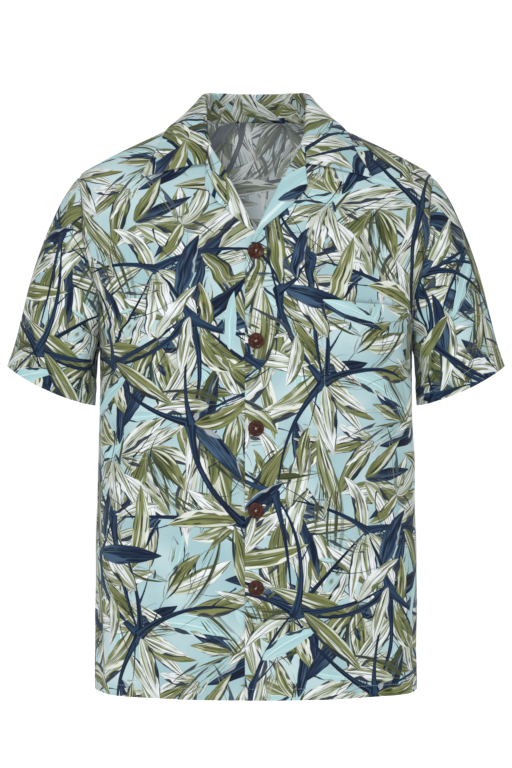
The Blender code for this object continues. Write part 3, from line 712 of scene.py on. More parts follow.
def back_places(rows, yoke_rows, columns):
    """The same for half the back, whose upper rows bend up to the shoulder seam and the neck."""
    across = (shares(2 * columns - 1, FINE[:4]) * 2)[: columns + 3]
    across = across / across[-1]
    low = body_heights(rows)
    up = 1 - shares(yoke_rows, (0.0, 0.004, 0.010))[::-1]
    start = np.pi / 2 + half_gap(low)
    angles = [start[:, None] + (np.pi - start)[:, None] * across]
    heights = [low[:, None] + 0 * across]
    outer = armhole_height(up)[:, None]
    middle = ARMPIT + (0.017 - ARMPIT) * up[:, None]
    first = armhole_angle(outer, -1) + half_gap(outer)
    bend = up[:, None] ** 5
    plain_angle = first + (np.pi - first) * across
    plain_height = outer + (middle - outer) * ease(across * 1.15)
    on_shoulder, on_neck = np.minimum(across / 0.5, 1), np.maximum(across - 0.5, 0) / 0.5
    seam_angle = first + (np.pi - first) * on_neck
    seam_height = outer + (0.011 - outer) * on_shoulder + 0.006 * ease(on_neck)
    angles.append(plain_angle + (seam_angle - plain_angle) * bend)
    heights.append(plain_height + (seam_height - plain_height) * bend)
    return np.concatenate(angles), np.concatenate(heights)


# %% Turn up the hem
def hem_thick(height):
    """The turned-up hem is thicker, being three layers pressed together."""
    turned = 1 - ease((height - HEM - HEM_DEPTH + 0.0012) / 0.0014)
    return CLOTH + 0.0007 * turned


def hem_dip(points, out):
    """The cloth ripples below the stitches of the hem, and dips along them."""
    up = points[..., 2] - HEM
    along = np.arctan2(points[..., 0], -points[..., 1]) * RADIUS
    wave = 0.5 + 0.5 * np.sin(along * 2 * np.pi / 0.0170 + 3 * np.sin(along * 23))
    near = np.exp(-(((up - STITCH_UP) / 0.0016) ** 2))
    below = np.exp(-(((up - 0.006) / 0.006) ** 2))
    return points + out * (0.00030 * wave * below - 0.00022 * near)[..., None]


# %% Make the fronts and the back
def make_front(name, side, on_top, turn, shift):
    angles, heights = front_places(*FRONT_GRID)
    if side < 0:
        angles, heights = angles[:, ::-1], heights[:, ::-1]
    points, out = front_point(angles, heights, side, on_top), torso_out(side * angles, heights)
    points = sewn(points, out, ["right" if side > 0 else "left"])
    flat = flatten(points)
    points = hem_dip(points, out)
    edge = run_from(points, 1, side < 0)
    thick = hem_thick(heights) + 0.0006 * (1 - ease((edge - 0.004) / 0.004))
    lined = (heights[:-1, :-1] < HEM + HEM_DEPTH - 0.001) | (edge[:-1, :-1] < 0.055)
    made = shell(name, points, out, thick, flat, printed(flat, turn, shift), lined=lined)
    return made, points, flat


def make_back(name, turn, shift):
    angles, heights = back_places(*BACK_GRID)
    angles = np.concatenate([angles, -angles[:, -2::-1]], 1)
    heights = np.concatenate([heights, heights[:, -2::-1]], 1)
    points, out = torso(angles, heights), torso_out(angles, heights)
    points = sewn(points, out, ["left", "right", "high"])
    flat = flatten(points)
    points = hem_dip(points, out)
    lined = heights[:-1, :-1] < HEM + HEM_DEPTH - 0.001
    made = shell(name, points, out, hem_thick(heights), flat, printed(flat, turn, shift), lined=lined)
    return made, points, flat


LEFT_CUT = (4, (0.31, 0.18))  # how each piece was turned on the printed cloth, and where it lay
left_front, left_points, left_flat = make_front("left_front_cloth", 1, True, *LEFT_CUT)
right_front, right_points, right_flat = make_front("right_front_cloth", -1, False, -6, (0.92, 0.47))
back, back_points, back_flat = make_back("back_cloth", 3, (1.65, 0.05))
for piece in (left_front, right_front, back):
    print(piece.name, len(piece.data.polygons), "faces")

# %% [markdown]
# ## Sleeves
# A short sleeve is a tube that leaves the armhole, swells over the shoulder and narrows to a
# turned-up cuff. Each lengthwise line of the tube is a curve with a start, an end, and a
# direction at each, so the head sits round the armhole and the cuff hangs at its own slant. A
# cylinder could be bent with a lattice, but its end would not meet the armhole's edge exactly.

# %% Size the sleeves
CUFF_MIDDLE, CUFF_WIDTH, CUFF_DEPTH = np.array([0.2515, 0.0, -0.3170]), 0.0586, 0.0620
CUFF_TILT, CUFF_SAG, SLEEVE_SWELL = math.radians(24.5), 0.0055, 0.030
TOP_PULLS = np.array([(0.112, 0.0, -0.088), (0.058, 0.0, -0.185)])
LOW_PULLS = np.array([(0.012, 0.0, -0.085), (0.006, 0.0, -0.085)])
CUFF_HEM = 0.022
CUFF_ROWS = 1 - np.array([0.100, 0.094, 0.088, 0.055, 0.02, 0.004, 0.0])
SLEEVE_CREASES = (  # turn and share of the length at each end, width, depth
    (0.46, 0.02, 0.30, 0.42, 0.0110, -0.0038), (0.43, 0.10, 0.34, 0.66, 0.0100, 0.0030),
    (0.50, 0.06, 0.44, 0.62, 0.0110, -0.0034), (0.38, 0.02, 0.24, 0.26, 0.0120, 0.0026),
    (0.25, 0.40, 0.16, 0.85, 0.0150, 0.0022), (0.31, 0.62, 0.29, 1.00, 0.0110, -0.0024),
    (0.20, 0.70, 0.22, 1.00, 0.0120, 0.0026), (0.10, 0.12, 0.18, 0.58, 0.0160, -0.0020),
    (0.04, 0.30, 0.06, 0.80, 0.0160, 0.0018), (0.40, 0.74, 0.39, 1.00, 0.0100, 0.0026),
    (0.54, 0.04, 0.68, 0.40, 0.0110, -0.0038), (0.57, 0.12, 0.64, 0.68, 0.0100, 0.0032),
    (0.62, 0.02, 0.76, 0.30, 0.0120, 0.0026), (0.75, 0.42, 0.84, 0.88, 0.0150, 0.0024),
    (0.70, 0.60, 0.71, 1.00, 0.0110, -0.0026), (0.80, 0.70, 0.79, 1.00, 0.0120, 0.0024),
    (0.90, 0.14, 0.82, 0.60, 0.0160, -0.0022), (0.96, 0.30, 0.93, 0.82, 0.0150, 0.0016),
    (0.60, 0.74, 0.61, 1.00, 0.0100, 0.0024), (0.99, 0.60, 0.02, 1.00, 0.0140, -0.0014),
)
SLEEVE_ROUND, SLEEVE_LONG = 0.42, 0.25  # its size, roughly, to turn shares into distances
SLEEVE_COLUMNS, SLEEVE_ROWS = 148, 76

print(len(SLEEVE_CREASES), "creases on each sleeve")


# %% Make the sleeves
def armhole_loop(turn):
    """The armhole's edge: turn 0 is the shoulder tip, a quarter the front, a half the armpit."""
    height = armhole_height(np.abs(1 - 2 * turn))
    angle = np.where(turn <= 0.5, armhole_angle(height, 1), armhole_angle(height, -1))
    return torso(angle, height) + torso_out(angle, height) * 0.0004


def sleeve_points(turn, along):
    """The tube of the wearer's left sleeve, without creases."""
    start = armhole_loop(turn)
    top, front = (1 + np.cos(2 * np.pi * turn)) / 2, np.sin(2 * np.pi * turn)
    low = 1 - top
    slant = np.array([math.cos(CUFF_TILT), 0, math.sin(CUFF_TILT)])
    end = CUFF_MIDDLE + np.outer(top - low, slant * CUFF_WIDTH)
    end = end + np.stack([0 * front, -CUFF_DEPTH * front, -CUFF_SAG * front ** 2], -1)
    leave = np.outer(top, TOP_PULLS[0]) + np.outer(low, LOW_PULLS[0])
    leave = leave + np.stack([SLEEVE_SWELL * front ** 2, -SLEEVE_SWELL * front, 0 * front], -1)
    arrive = np.outer(top, TOP_PULLS[1]) + np.outer(low, LOW_PULLS[1])
    t = along[:, None, None]
    ends = start * ((1 + 2 * t) * (1 - t) ** 2) + end * (t * t * (3 - 2 * t))
    return ends + leave * (t * (1 - t) ** 2) + arrive * (t * t * (t - 1))


def make_sleeve(name, side, turn, shift):
    turns = (np.arange(SLEEVE_COLUMNS) / SLEEVE_COLUMNS + 0.5) % 1.0
    plain = shares(SLEEVE_ROWS, (0.0, 0.006, 0.014, 0.022))[:-3]
    reach = np.unique(np.concatenate([plain, CUFF_ROWS]))
    points = sleeve_points(turns, reach)
    out = grid_out(points, closed=True)
    round_turn, long_share = np.meshgrid(turns, reach)
    move = np.zeros(points.shape[:2])
    for wrap in (-1, 0, 1):
        lines = []
        for a, b, c, d, width, deep in SLEEVE_CREASES:
            c += 1 if c < a - 0.5 else 0
            lines.append((a * SLEEVE_ROUND, b * SLEEVE_LONG, c * SLEEVE_ROUND, d * SLEEVE_LONG, width, deep))
        move += crease_lines((round_turn + wrap) * SLEEVE_ROUND, long_share * SLEEVE_LONG, lines)
    move += 0.0003 * np.sin(round_turn * 44 + long_share * 13 + 2 * np.sin(long_share * 9))
    points = points + out * (move * ease(long_share / 0.10))[..., None]
    if side < 0:
        points = points[:, ::-1] * np.array([-1, 1, 1])
    out = grid_out(points, closed=True)
    points = sewn(points, out, ["low"])
    opened = np.concatenate([points, points[:, :1]], 1)
    flat = flatten(opened)
    up = run_from(points, 0, True)
    along = run_from(points, 1, False)
    wave = np.sin(along * 2 * np.pi / 0.016 + 2.5 * np.sin(along * 27))
    dip = 0.00025 * wave * np.exp(-(((up - 0.010) / 0.008) ** 2))
    dip -= 0.00022 * np.exp(-(((up - CUFF_HEM + 0.002) / 0.0018) ** 2))
    points = points + out * dip[..., None]
    thick = CLOTH + 0.0007 * (1 - ease((up - CUFF_HEM) / 0.0015))
    lined = np.broadcast_to((up < CUFF_HEM)[1:, :], (len(points) - 1, points.shape[1]))
    made = shell(name, points, out, thick, flat, printed(flat, turn, shift), closed=True, lined=lined)
    return made, points, flat, out


left_sleeve, left_tube, left_sleeve_flat, left_tube_out = make_sleeve(
    "left_sleeve_cloth", 1, 177.5, (0.216, 0.235)
)
right_sleeve, right_tube, right_sleeve_flat, right_tube_out = make_sleeve(
    "right_sleeve_cloth", -1, 188.6, (0.123, 0.481)
)
print("sleeves:", len(left_sleeve.data.polygons), "faces each")

# %% [markdown]
# ## Collar
# The collar stands up from the neck seam, folds over and lies down on the shoulders. It is two
# layers with a stiffener between them, so both its sides show the face of the print and its
# edges are firmer than a single layer. Each of its sections runs from the seam over the fold to
# the outer edge, and the sections are set side by side from one front end to the other. A flat
# strip could be folded with modifiers, but sections let each part of the fold be placed one by one,
# and the leaf be pushed out until it lies just off the shoulders.

# %% Size the collar
COLLAR = np.array([  # share from the back to the front end, fold x y z, edge x y, notch
    (0.00, 0.0000, 0.0760, 0.0500, 0.0000, 0.1030, 0.0), (0.14, 0.0360, 0.0670, 0.0500, 0.0480, 0.0955, 0.0),
    (0.28, 0.0560, 0.0450, 0.0480, 0.0830, 0.0670, 0.0), (0.42, 0.0625, 0.0160, 0.0435, 0.0990, 0.0280, 0.0),
    (0.55, 0.0635, -0.0120, 0.0330, 0.1030, -0.0180, 0.0),
    (0.68, 0.0610, -0.0370, 0.0160, 0.1110, -0.0530, 0.0),
    (0.80, 0.0590, -0.0580, -0.0030, 0.1220, -0.0729, 0.0),
    (0.91, 0.0575, -0.0710, -0.0170, 0.1310, -0.0810, 0.35),
    (1.00, 0.0535, -0.0805, -0.0290, 0.1370, -0.0853, 1.0),
])
GORGE = 0.64
NOTCH_AT, NOTCH_SHIFT = 0.25, np.array([-0.0160, -0.0040, -0.0165])
LEAF_CLEAR, FOLD_RADIUS, SEAM_LAP = 0.0030, 0.0025, 0.0030
COLLAR_THICK = 0.0015
STAND_LEAVES, STAND_ROWS = 22, 30  # extra leaves inside the stand, and how far from its middle in rows

COLLAR_GRID = (74, 34)  # sections in each half, points in a section
print("the collar is placed by", len(COLLAR), "sections")


# %% Measure how far points are from the form
def level(point):
    """Below 0 inside the form, above 0 outside it, in metres near the form."""
    depth = np.where(point[..., 1] < 0, front_depth(point[..., 2]), back_depth(point[..., 2]))
    share = np.abs(point[..., 0] / half_width(point[..., 2])) ** SQUARENESS
    share = share + np.abs(point[..., 1] / depth) ** SQUARENESS
    return np.hypot(point[..., 0], point[..., 1]) * (1 - np.maximum(share, 1e-6) ** (-1 / SQUARENESS))


def held_off(point, clearance):
    """Points moved out, where need be, until they clear the form."""
    step = 0.0005
    for _ in range(6):
        here = level(point)
        slope = np.stack([(level(point + step * axis) - here) / step for axis in np.eye(3)], -1)
        away = here / np.maximum(np.linalg.norm(slope, axis=-1), 0.2)
        point = point + unit(slope) * np.maximum(clearance - away, 0)[..., None]
    return point


def shoulder_height(x, y):
    """The height at which the form is met from above, found by halving."""
    low, high = np.full(x.shape, ARMPIT), np.full(x.shape, TORSO[-1, 0])
    for _ in range(30):
        middle = (low + high) / 2
        inside = level(np.stack([x, y, middle], -1)) < 0
        low, high = np.where(inside, middle, low), np.where(inside, high, middle)
    return low


# %% Lay out half the collar
def neck_seam(along):
    """Angle and height of the seam between collar and body, from the back to the front end."""
    back_part = along <= 0.47
    t = np.where(back_part, along / 0.47, (along - 0.47) / 0.53)
    edge = 1 - (1 - GORGE) * t
    height = np.where(back_part, 0.017 - 0.006 * ease(t), edge_height(edge))
    return np.where(back_part, np.pi * (1 - t / 2), angle_at(edge_x(edge), edge_height(edge))), height


def through(controls, count):
    """A smooth line through each row of control points, evenly spaced along it."""
    before, after = 2 * controls[:, :1] - controls[:, 1:2], 2 * controls[:, -1:] - controls[:, -2:-1]
    padded = np.concatenate([before, controls, after], 1)
    rounds = []
    for k in range(controls.shape[1] - 1):
        p0, p1, p2, p3 = (padded[:, k + m, None] for m in range(4))
        t = np.linspace(0, 1, 9)[:-1][None, :, None]
        second, third = 2 * p0 - 5 * p1 + 4 * p2 - p3, 3 * p1 - p0 - 3 * p2 + p3
        rounds.append(0.5 * (2 * p1 + (p2 - p0) * t + second * t ** 2 + third * t ** 3))
    dense = np.concatenate(rounds + [controls[:, -1:]], 1)
    run = run_from(dense, 1, False)
    result = np.empty((len(dense), count, 3))
    for row in range(len(dense)):
        at = np.linspace(0, run[row, -1], count)
        for axis in range(3):
            result[row, :, axis] = np.interp(at, run[row], dense[row, :, axis])
    return result


def collar_half(stations, count):
    """The wearer's left half of the collar: seam, stand, fold, leaf and edge at every station."""
    along = np.linspace(0, 1, stations)
    column = [reader(COLLAR[:, 0], COLLAR[:, k])(along) for k in range(1, 7)]
    angle, height = neck_seam(along)
    seam = smooth_torso(angle, height)
    out = unit(seam * np.array([1, 1, 0]))
    seam = seam - form_out(angle, height) * SEAM_LAP
    fold = np.stack(column[:3], -1)
    edge = held_off(np.stack([column[3], column[4], shoulder_height(column[3], column[4])], -1), LEAF_CLEAR)
    down = seam - fold
    short = np.minimum(FOLD_RADIUS / np.linalg.norm(down, axis=-1, keepdims=True), 0.35)
    stand_top = fold - out * FOLD_RADIUS + down * short
    leaf_top = fold + out * FOLD_RADIUS + unit(edge - fold) * FOLD_RADIUS
    sections = [seam + (stand_top - seam) * s for s in (0, 0.34, 0.67, 1)] + [fold]
    for s in np.linspace(0, 1, 9):
        bend = s / NOTCH_AT if s < NOTCH_AT else (1 - s) / (1 - NOTCH_AT)
        lift = 0.0028 * math.sin(math.pi * min(s * 1.25, 1.0))
        point = leaf_top + (edge - leaf_top) * s + NOTCH_SHIFT * (bend * column[5])[:, None]
        sections.append(held_off(point, LEAF_CLEAR + lift))
    return through(np.stack(sections, 1), count)


# %% Make the collar
def stand_leaves(flat):
    """Pale and olive leaves that lie along the inside of the stand at the back of the neck."""
    pick = np.random.default_rng(86)
    middle = len(flat) // 2
    found = []
    for k in range(STAND_LEAVES):
        row = middle + int(STAND_ROWS * (2 * (k + 0.5) / STAND_LEAVES - 1))
        column = int(pick.integers(1, 13))
        forward = flat[row + 3, column] - flat[row - 3, column]
        heading = math.atan2(forward[1], forward[0]) + pick.choice((-1, 1)) * pick.uniform(0.25, 1.05)
        length = pick.uniform(0.046, 0.074)
        start = flat[row, column] - length / 2 * np.array([math.cos(heading), math.sin(heading)])
        kind = pick.choice((WHITE, OLIVE, NAVY), p=(0.72, 0.24, 0.04))
        half, bend = length * pick.uniform(0.12, 0.17), pick.normal(0, 0.5)
        found.append((*start, heading, length, half, bend, kind + pick.uniform(0.1, 0.9), 9.0))
    return found


def make_collar(turn, shift):
    half = collar_half(*COLLAR_GRID)
    points = np.concatenate([half[:0:-1] * np.array([-1, 1, 1]), half])
    out = grid_out(points)
    flat = flatten(points)
    ends = np.minimum(run_from(points, 0, False), run_from(points, 0, True))
    rim = np.minimum(run_from(points, 1, True), ends)
    thick = COLLAR_THICK - 0.0005 * np.exp(-((rim / 0.0012) ** 2))
    thick += 0.0002 * np.exp(-(((rim - 0.005) / 0.003) ** 2))
    lined = np.ones((len(points) - 1, points.shape[1] - 1), bool)
    paint = printed(flat, turn, shift, stand_leaves(flat))
    return shell("collar_cloth", points, out, thick, flat, paint, lined=lined), flat


collar, collar_flat = make_collar(88, (0.44, 2.05))
print("collar:", len(collar.data.polygons), "faces")

# %% [markdown]
# ## Lapels
# Below the collar each front folds back on itself along the roll line and shows its facing. It
# could be one sheet with the front, but where a grid doubles back on itself it buckles. So each
# lapel is a sheet of its own: a small round for the fold, and then a part that lies just off the
# front. Its edge, like the front's, is a curve through a few points.

# %% Make the lapels
LAPEL_EDGE = np.array([  # share along the front's edge, x, height
    (0.28, -0.0015, -0.1490), (0.34, 0.0080, -0.1330), (0.42, 0.0310, -0.1130),
    (0.50, 0.0520, -0.0930), (0.55, 0.0606, -0.0800), (0.64, 0.0590, -0.0570),
])
ROLL = (  # the round of the fold: how far towards the V and how far out, from the inside to the outside
    (-0.0060, -0.0012), (-0.0030, -0.0012), (-0.0005, -0.0010), (0.0011, -0.0003),
    (0.0015, 0.0007), (0.0010, 0.0015), (-0.0002, 0.0019),
)
LAPEL_GRID = (64, 16)
lapel_x, lapel_height = (reader(LAPEL_EDGE[:, 0], LAPEL_EDGE[:, k]) for k in (1, 2))


def make_lapel(name, side, on_top, turn, shift, extra):
    low = 0.28 if on_top else 0.335
    along = np.linspace(low, GORGE + 0.012, LAPEL_GRID[0])[:, None]
    across = np.linspace(0.06, 1, LAPEL_GRID[1])[None, :]
    x = edge_x(along) + (lapel_x(along) - edge_x(along)) * across
    height = edge_height(along) + (lapel_height(along) - edge_height(along)) * across
    angle = angle_at(x, height)
    out = torso_out(side * angle, height)
    belly = 0.0018 + 0.0014 * np.sin(np.pi * np.clip(across * 1.1, 0, 1)) ** 1.2
    lying = front_point(angle, height, side, on_top) + out * belly[..., None]
    roll_x, roll_height = edge_x(along[:, 0]), edge_height(along[:, 0])
    roll_angle = angle_at(roll_x, roll_height)
    roll = front_point(roll_angle, roll_height, side, on_top)
    roll_out = torso_out(side * roll_angle, roll_height)
    inward = unit(roll - lying[:, 4])
    turned = [roll + inward * a + roll_out * b for a, b in ROLL]
    points = np.concatenate([np.stack(turned, 1), lying], 1)
    if side < 0:
        points = points[:, ::-1]
    out = grid_out(points)
    flat = flatten(points)
    rim = run_from(points, 1, side > 0)
    thick = 0.0010 - 0.0004 * np.exp(-((rim / 0.0012) ** 2))
    lined = np.ones((len(points) - 1, points.shape[1] - 1), bool)
    return shell(name, points, out, thick, flat, printed(flat, turn, shift, extra), lined=lined), flat


LAPEL_LEAVES = (  # the plain leaf that shows on the lapel, and a dark one across it
    (0.0, 0.060, 0.85, 0.060, 0.0075, 0.3, NAVY + 0.30, 9.0),
    (-0.010, -0.030, 1.45, 0.165, 0.034, -0.2, SEA + 0.20, 8.0),
)
OTHER_LEAVES = (  # a dense sprig that covers most of the other lapel
    (-0.008, -0.078, 1.35, 0.085, 0.0110, 0.25, WHITE + 0.35, 9.0),
    (0.006, -0.046, 1.60, 0.080, 0.0110, -0.30, OLIVE + 0.62, 9.0),
    (-0.012, -0.008, 1.20, 0.085, 0.0120, 0.30, WHITE + 0.77, 9.0),
    (0.004, 0.020, 1.80, 0.070, 0.0115, -0.20, OLIVE + 0.28, 9.0),
    (0.016, -0.095, 1.90, 0.060, 0.0090, 0.20, NAVY + 0.40, 9.0),
)
left_lapel, left_lapel_flat = make_lapel("left_lapel_cloth", 1, True, 20, (1.12, 0.95), LAPEL_LEAVES)
right_lapel, right_lapel_flat = make_lapel(
    "right_lapel_cloth", -1, False, -35, (2.20, 1.71), OTHER_LEAVES
)
print("lapels:", len(left_lapel.data.polygons), "faces each")

# %% [markdown]
# ## Pocket
# The pocket is one patch, sewn on at its sides and foot and loose at its mouth. A careful maker
# cuts it so that its print carries on from the front below it, and so do we: each of its points
# takes the place on the flat cloth that the front has right under it. A copied part of the front
# could serve, but its edges would not be straight, nor could its mouth stand open.

# %% Find places on the front
POCKET_X, POCKET_TOP, POCKET_BOTTOM = (0.078, 0.176), (-0.2150, -0.2230), -0.3480
POCKET_GRID = (40, 52)  # columns and rows


def front_flat_at(places):
    """Where points lying on the wearer's left front were on its flat cut."""
    rows, columns = left_points.shape[:2]
    search = left_points[::2, ::2].reshape(-1, 3)
    index = np.array([np.argmin(((search - p) ** 2).sum(-1)) for p in places])
    row, column = np.unravel_index(index, left_points[::2, ::2].shape[:2])
    row, column = np.clip(row * 2, 1, rows - 2), np.clip(column * 2, 1, columns - 2)
    across = left_points[row, column + 1] - left_points[row, column - 1]
    upward = left_points[row + 1, column] - left_points[row - 1, column]
    off = places - left_points[row, column]
    aa, au, uu = (across * across).sum(-1), (across * upward).sum(-1), (upward * upward).sum(-1)
    oa, ou = (off * across).sum(-1), (off * upward).sum(-1)
    a, b = (oa * uu - ou * au) / (aa * uu - au * au), (ou * aa - oa * au) / (aa * uu - au * au)
    flat_across = left_flat[row, column + 1] - left_flat[row, column - 1]
    flat_up = left_flat[row + 1, column] - left_flat[row - 1, column]
    return left_flat[row, column] + a[:, None] * flat_across + b[:, None] * flat_up


def pocket_places(across, up):
    """Where the front lies under the pocket, and which way is out from it there."""
    x = POCKET_X[0] + (POCKET_X[1] - POCKET_X[0]) * across
    top = POCKET_TOP[0] + (POCKET_TOP[1] - POCKET_TOP[0]) * across
    rounded = 0.004 * (np.clip(1 - up / 0.10, 0, 1) ** 2) * (np.abs(2 * across - 1) ** 8)
    height = POCKET_BOTTOM + rounded + (top - POCKET_BOTTOM) * up
    angle = angle_at(x, height)
    return front_point(angle, height, 1, True), torso_out(angle, height)


# %% Make the pocket
def pocket_lift(across, up):
    """How far the pocket stands off the front: most at its mouth, and least at its sewn sides."""
    mouth = np.exp(-(((1 - up) / 0.16) ** 2)) * np.sin(np.pi * across) ** 0.8
    middle = np.sin(np.pi * across) ** 0.7 * np.sin(np.pi * np.clip(up, 0, 1)) ** 0.7
    return (0.0011 + 0.0028 * mouth + 0.0010 * middle)[..., None]


def make_pocket():
    columns = shares(POCKET_GRID[0], (0.0, 0.006, 0.016, 0.028))
    rows = shares(POCKET_GRID[1], (0.0, 0.005, 0.012, 0.022))
    across, up = np.meshgrid(columns, rows)
    base, out = pocket_places(across, up)
    points = base + out * pocket_lift(across, up)
    flat = flatten(points)
    on_front = front_flat_at(base.reshape(-1, 3)).reshape(base.shape[:2] + (2,))
    thick = CLOTH + 0.0006 * (1 - ease(((1 - up) * 0.13 - 0.024) / 0.002))
    thick += 0.0003 * (np.minimum(across, 1 - across) < 0.06)
    lined = up[:-1, :-1] > 0.80
    start, end = on_front[-3, 3], on_front[-9, -16]
    run = end - start
    heading, length = math.atan2(run[1], run[0]), np.hypot(*run)
    pale = (*(start - run * 0.04), heading, 1.05 * length, 0.0085, -0.25, SEA + 0.70, 9.0)
    dark_start = start - run * 0.02 - (0, 0.004)
    dark = (*dark_start, heading - 0.10, 1.1 * length, 0.0085, -0.2, NAVY + 0.5, 8.0)
    paint = printed(on_front, *LEFT_CUT, (pale, dark))
    return shell("pocket_cloth", points, out, thick, on_front, paint, lined=lined), flat


pocket, pocket_flat = make_pocket()
print("pocket:", len(pocket.data.polygons), "faces")

# %% [markdown]
# ## Stitches
# The hems of the body, the cuffs and the pocket are held by visible lines of stitches. A stitch
# is about two and a half millimetres long. A curve with an Array modifier could repeat one, but
# it turns awkwardly at corners. Here each is a small six-sided bead of thread, set along a line
# that lies on the cloth and tilted as the cloth is there.

# %% Make a line of stitches
STITCH, STITCH_STEP, THREAD = 0.0024, 0.0032, 0.00021
STITCH_RINGS = (  # place along the stitch, width and lift, as shares of its own
    (-1.0, 0.25, -0.9), (-0.75, 0.85, -0.1), (0.0, 1.0, 0.35), (0.75, 0.85, -0.1), (1.0, 0.25, -0.9),
)


def stitch_line(name, lines):
    """Beads of thread along lines, each given as points on the cloth and their normals."""
    vertices, faces = [], []
    ring = np.arange(6) * np.pi / 3
    for points, out in lines:
        run = np.concatenate([[0], np.cumsum(np.linalg.norm(np.diff(points, axis=0), axis=-1))])
        spots = np.arange(STITCH_STEP, run[-1] - STITCH_STEP / 2, STITCH_STEP)
        at = np.stack([np.interp(spots, run, points[:, k]) for k in range(3)], -1)
        ahead = np.stack([np.interp(spots + 0.001, run, points[:, k]) for k in range(3)], -1)
        up = unit(np.stack([np.interp(spots, run, out[:, k]) for k in range(3)], -1))
        way = unit(ahead - at)
        side = np.cross(up, way)
        for place, forward, upward, aside in zip(at, way, up, side):
            base = len(vertices)
            for along, size, lift in STITCH_RINGS:
                middle = place + forward * (along * STITCH / 2) + upward * (lift * THREAD)
                round_it = aside * np.cos(ring)[:, None] + upward * np.sin(ring)[:, None]
                vertices.extend(middle + THREAD * size * round_it)
            for k in range(len(STITCH_RINGS) - 1):
                for m in range(6):
                    n = (m + 1) % 6
                    a = base + 6 * k
                    faces.append((a + m, a + n, a + 6 + n, a + 6 + m))
            faces.append(tuple(base + m for m in reversed(range(6))))
            faces.append(tuple(base + 6 * (len(STITCH_RINGS) - 1) + m for m in range(6)))
    mesh = bpy.data.meshes.new(name)
    mesh.from_pydata([tuple(v) for v in vertices], [], faces)
    mesh.polygons.foreach_set("use_smooth", [True] * len(mesh.polygons))
    made = bpy.data.objects.new(name, mesh)
    bpy.context.scene.collection.objects.link(made)
    print(name, len(faces), "faces")
    return made


# %% Sew the hem, the cuffs and the pocket
HEM_LIFT, CUFF_LIFT, POCKET_LIFT = 0.00070, 0.00072, 0.00062  # of the thread off the cloth's middle


def lifted(points, out, by):
    return points + out * by, out


hem_row = int(np.argmin(np.abs(HEM_ROWS - HEM - STITCH_UP)))
body_lines = []
for grid in (left_points, right_points, back_points):
    out = grid_out(grid)
    body_lines.append(lifted(grid[hem_row, 3:-3], out[hem_row, 3:-3], HEM_LIFT))
hem_stitches = stitch_line("hem_stitches", body_lines)

cuff_lines = []
for grid, out in ((left_tube, left_tube_out), (right_tube, right_tube_out)):
    up = run_from(grid, 0, True)
    row = int(np.argmin(np.abs(up.mean(1) - CUFF_HEM + 0.002)))
    loop = np.concatenate([grid[row], grid[row, :1]])
    cuff_lines.append(lifted(loop, np.concatenate([out[row], out[row, :1]]), CUFF_LIFT))
cuff_stitches = stitch_line("cuff_stitches", cuff_lines)

pocket_lines = []
for across, up in (
    (np.full(60, 0.022), np.linspace(0.985, 0.018, 60)),
    (np.linspace(0.022, 0.978, 50), np.full(50, 0.018)),
    (np.full(60, 0.978), np.linspace(0.018, 0.985, 60)),
    (np.linspace(0.03, 0.97, 50), np.full(50, 0.81)),
):
    base, out = pocket_places(across, up)
    pocket_lines.append((base + out * (pocket_lift(across, up) + POCKET_LIFT), out))
pocket_stitches = stitch_line("pocket_stitches", pocket_lines)

# %% [markdown]
# ## Buttons
# The buttons are dark, mottled discs with a raised rim and four holes, like polished coconut
# shell. One is shaped from a cylinder: its top is inset and pushed down to leave the rim, the
# edges are rounded, and four small cylinders cut the holes. A profile could be spun instead, but
# insets make the rim and the dish in a few steps that are easy to change.

# %% Shape one button
BUTTON_HEIGHTS = (-0.1590, -0.2645, -0.3670, -0.4630, -0.5540)
BUTTON_RADIUS, BUTTON_THICK = 0.0094, 0.0030
HOLE_RADIUS, HOLE_AT = 0.00085, 0.0019
RIM_WIDTH, RIM_SLOPE, RIM_DEPTH = 0.0017, 0.0016, 0.0010
DISH_WIDTH, DISH_DEPTH, EDGE_ROUND = 0.0024, 0.0001, 0.0009


def nothing_selected():
    bpy.ops.object.select_all(action="DESELECT")


def pick_faces(obj, test):
    """Selects, in edit mode, the faces whose middle and normal pass the test."""
    bpy.ops.mesh.select_all(action="DESELECT")
    bpy.ops.object.mode_set(mode="OBJECT")
    for face in obj.data.polygons:
        face.select = test(face.center, face.normal)
    bpy.ops.object.mode_set(mode="EDIT")


nothing_selected()
bpy.ops.mesh.primitive_cylinder_add(
    vertices=48, radius=BUTTON_RADIUS, depth=BUTTON_THICK, location=(0, 0, BUTTON_THICK / 2)
)
button = bpy.context.object
button.name = "button_blank"
bpy.ops.object.mode_set(mode="EDIT")
pick_faces(button, lambda c, n: n.z > 0.9)
bpy.ops.mesh.inset(thickness=RIM_WIDTH)
bpy.ops.mesh.inset(thickness=RIM_SLOPE)
bpy.ops.transform.translate(value=(0, 0, -RIM_DEPTH))
bpy.ops.mesh.inset(thickness=DISH_WIDTH)
bpy.ops.transform.translate(value=(0, 0, -DISH_DEPTH))
pick_faces(button, lambda c, n: abs(n.z) < 0.1)
bpy.ops.mesh.bevel(offset=EDGE_ROUND, segments=4, affect="EDGES")
bpy.ops.object.mode_set(mode="OBJECT")
nothing_selected()
print("blank:", len(button.data.polygons), "faces")

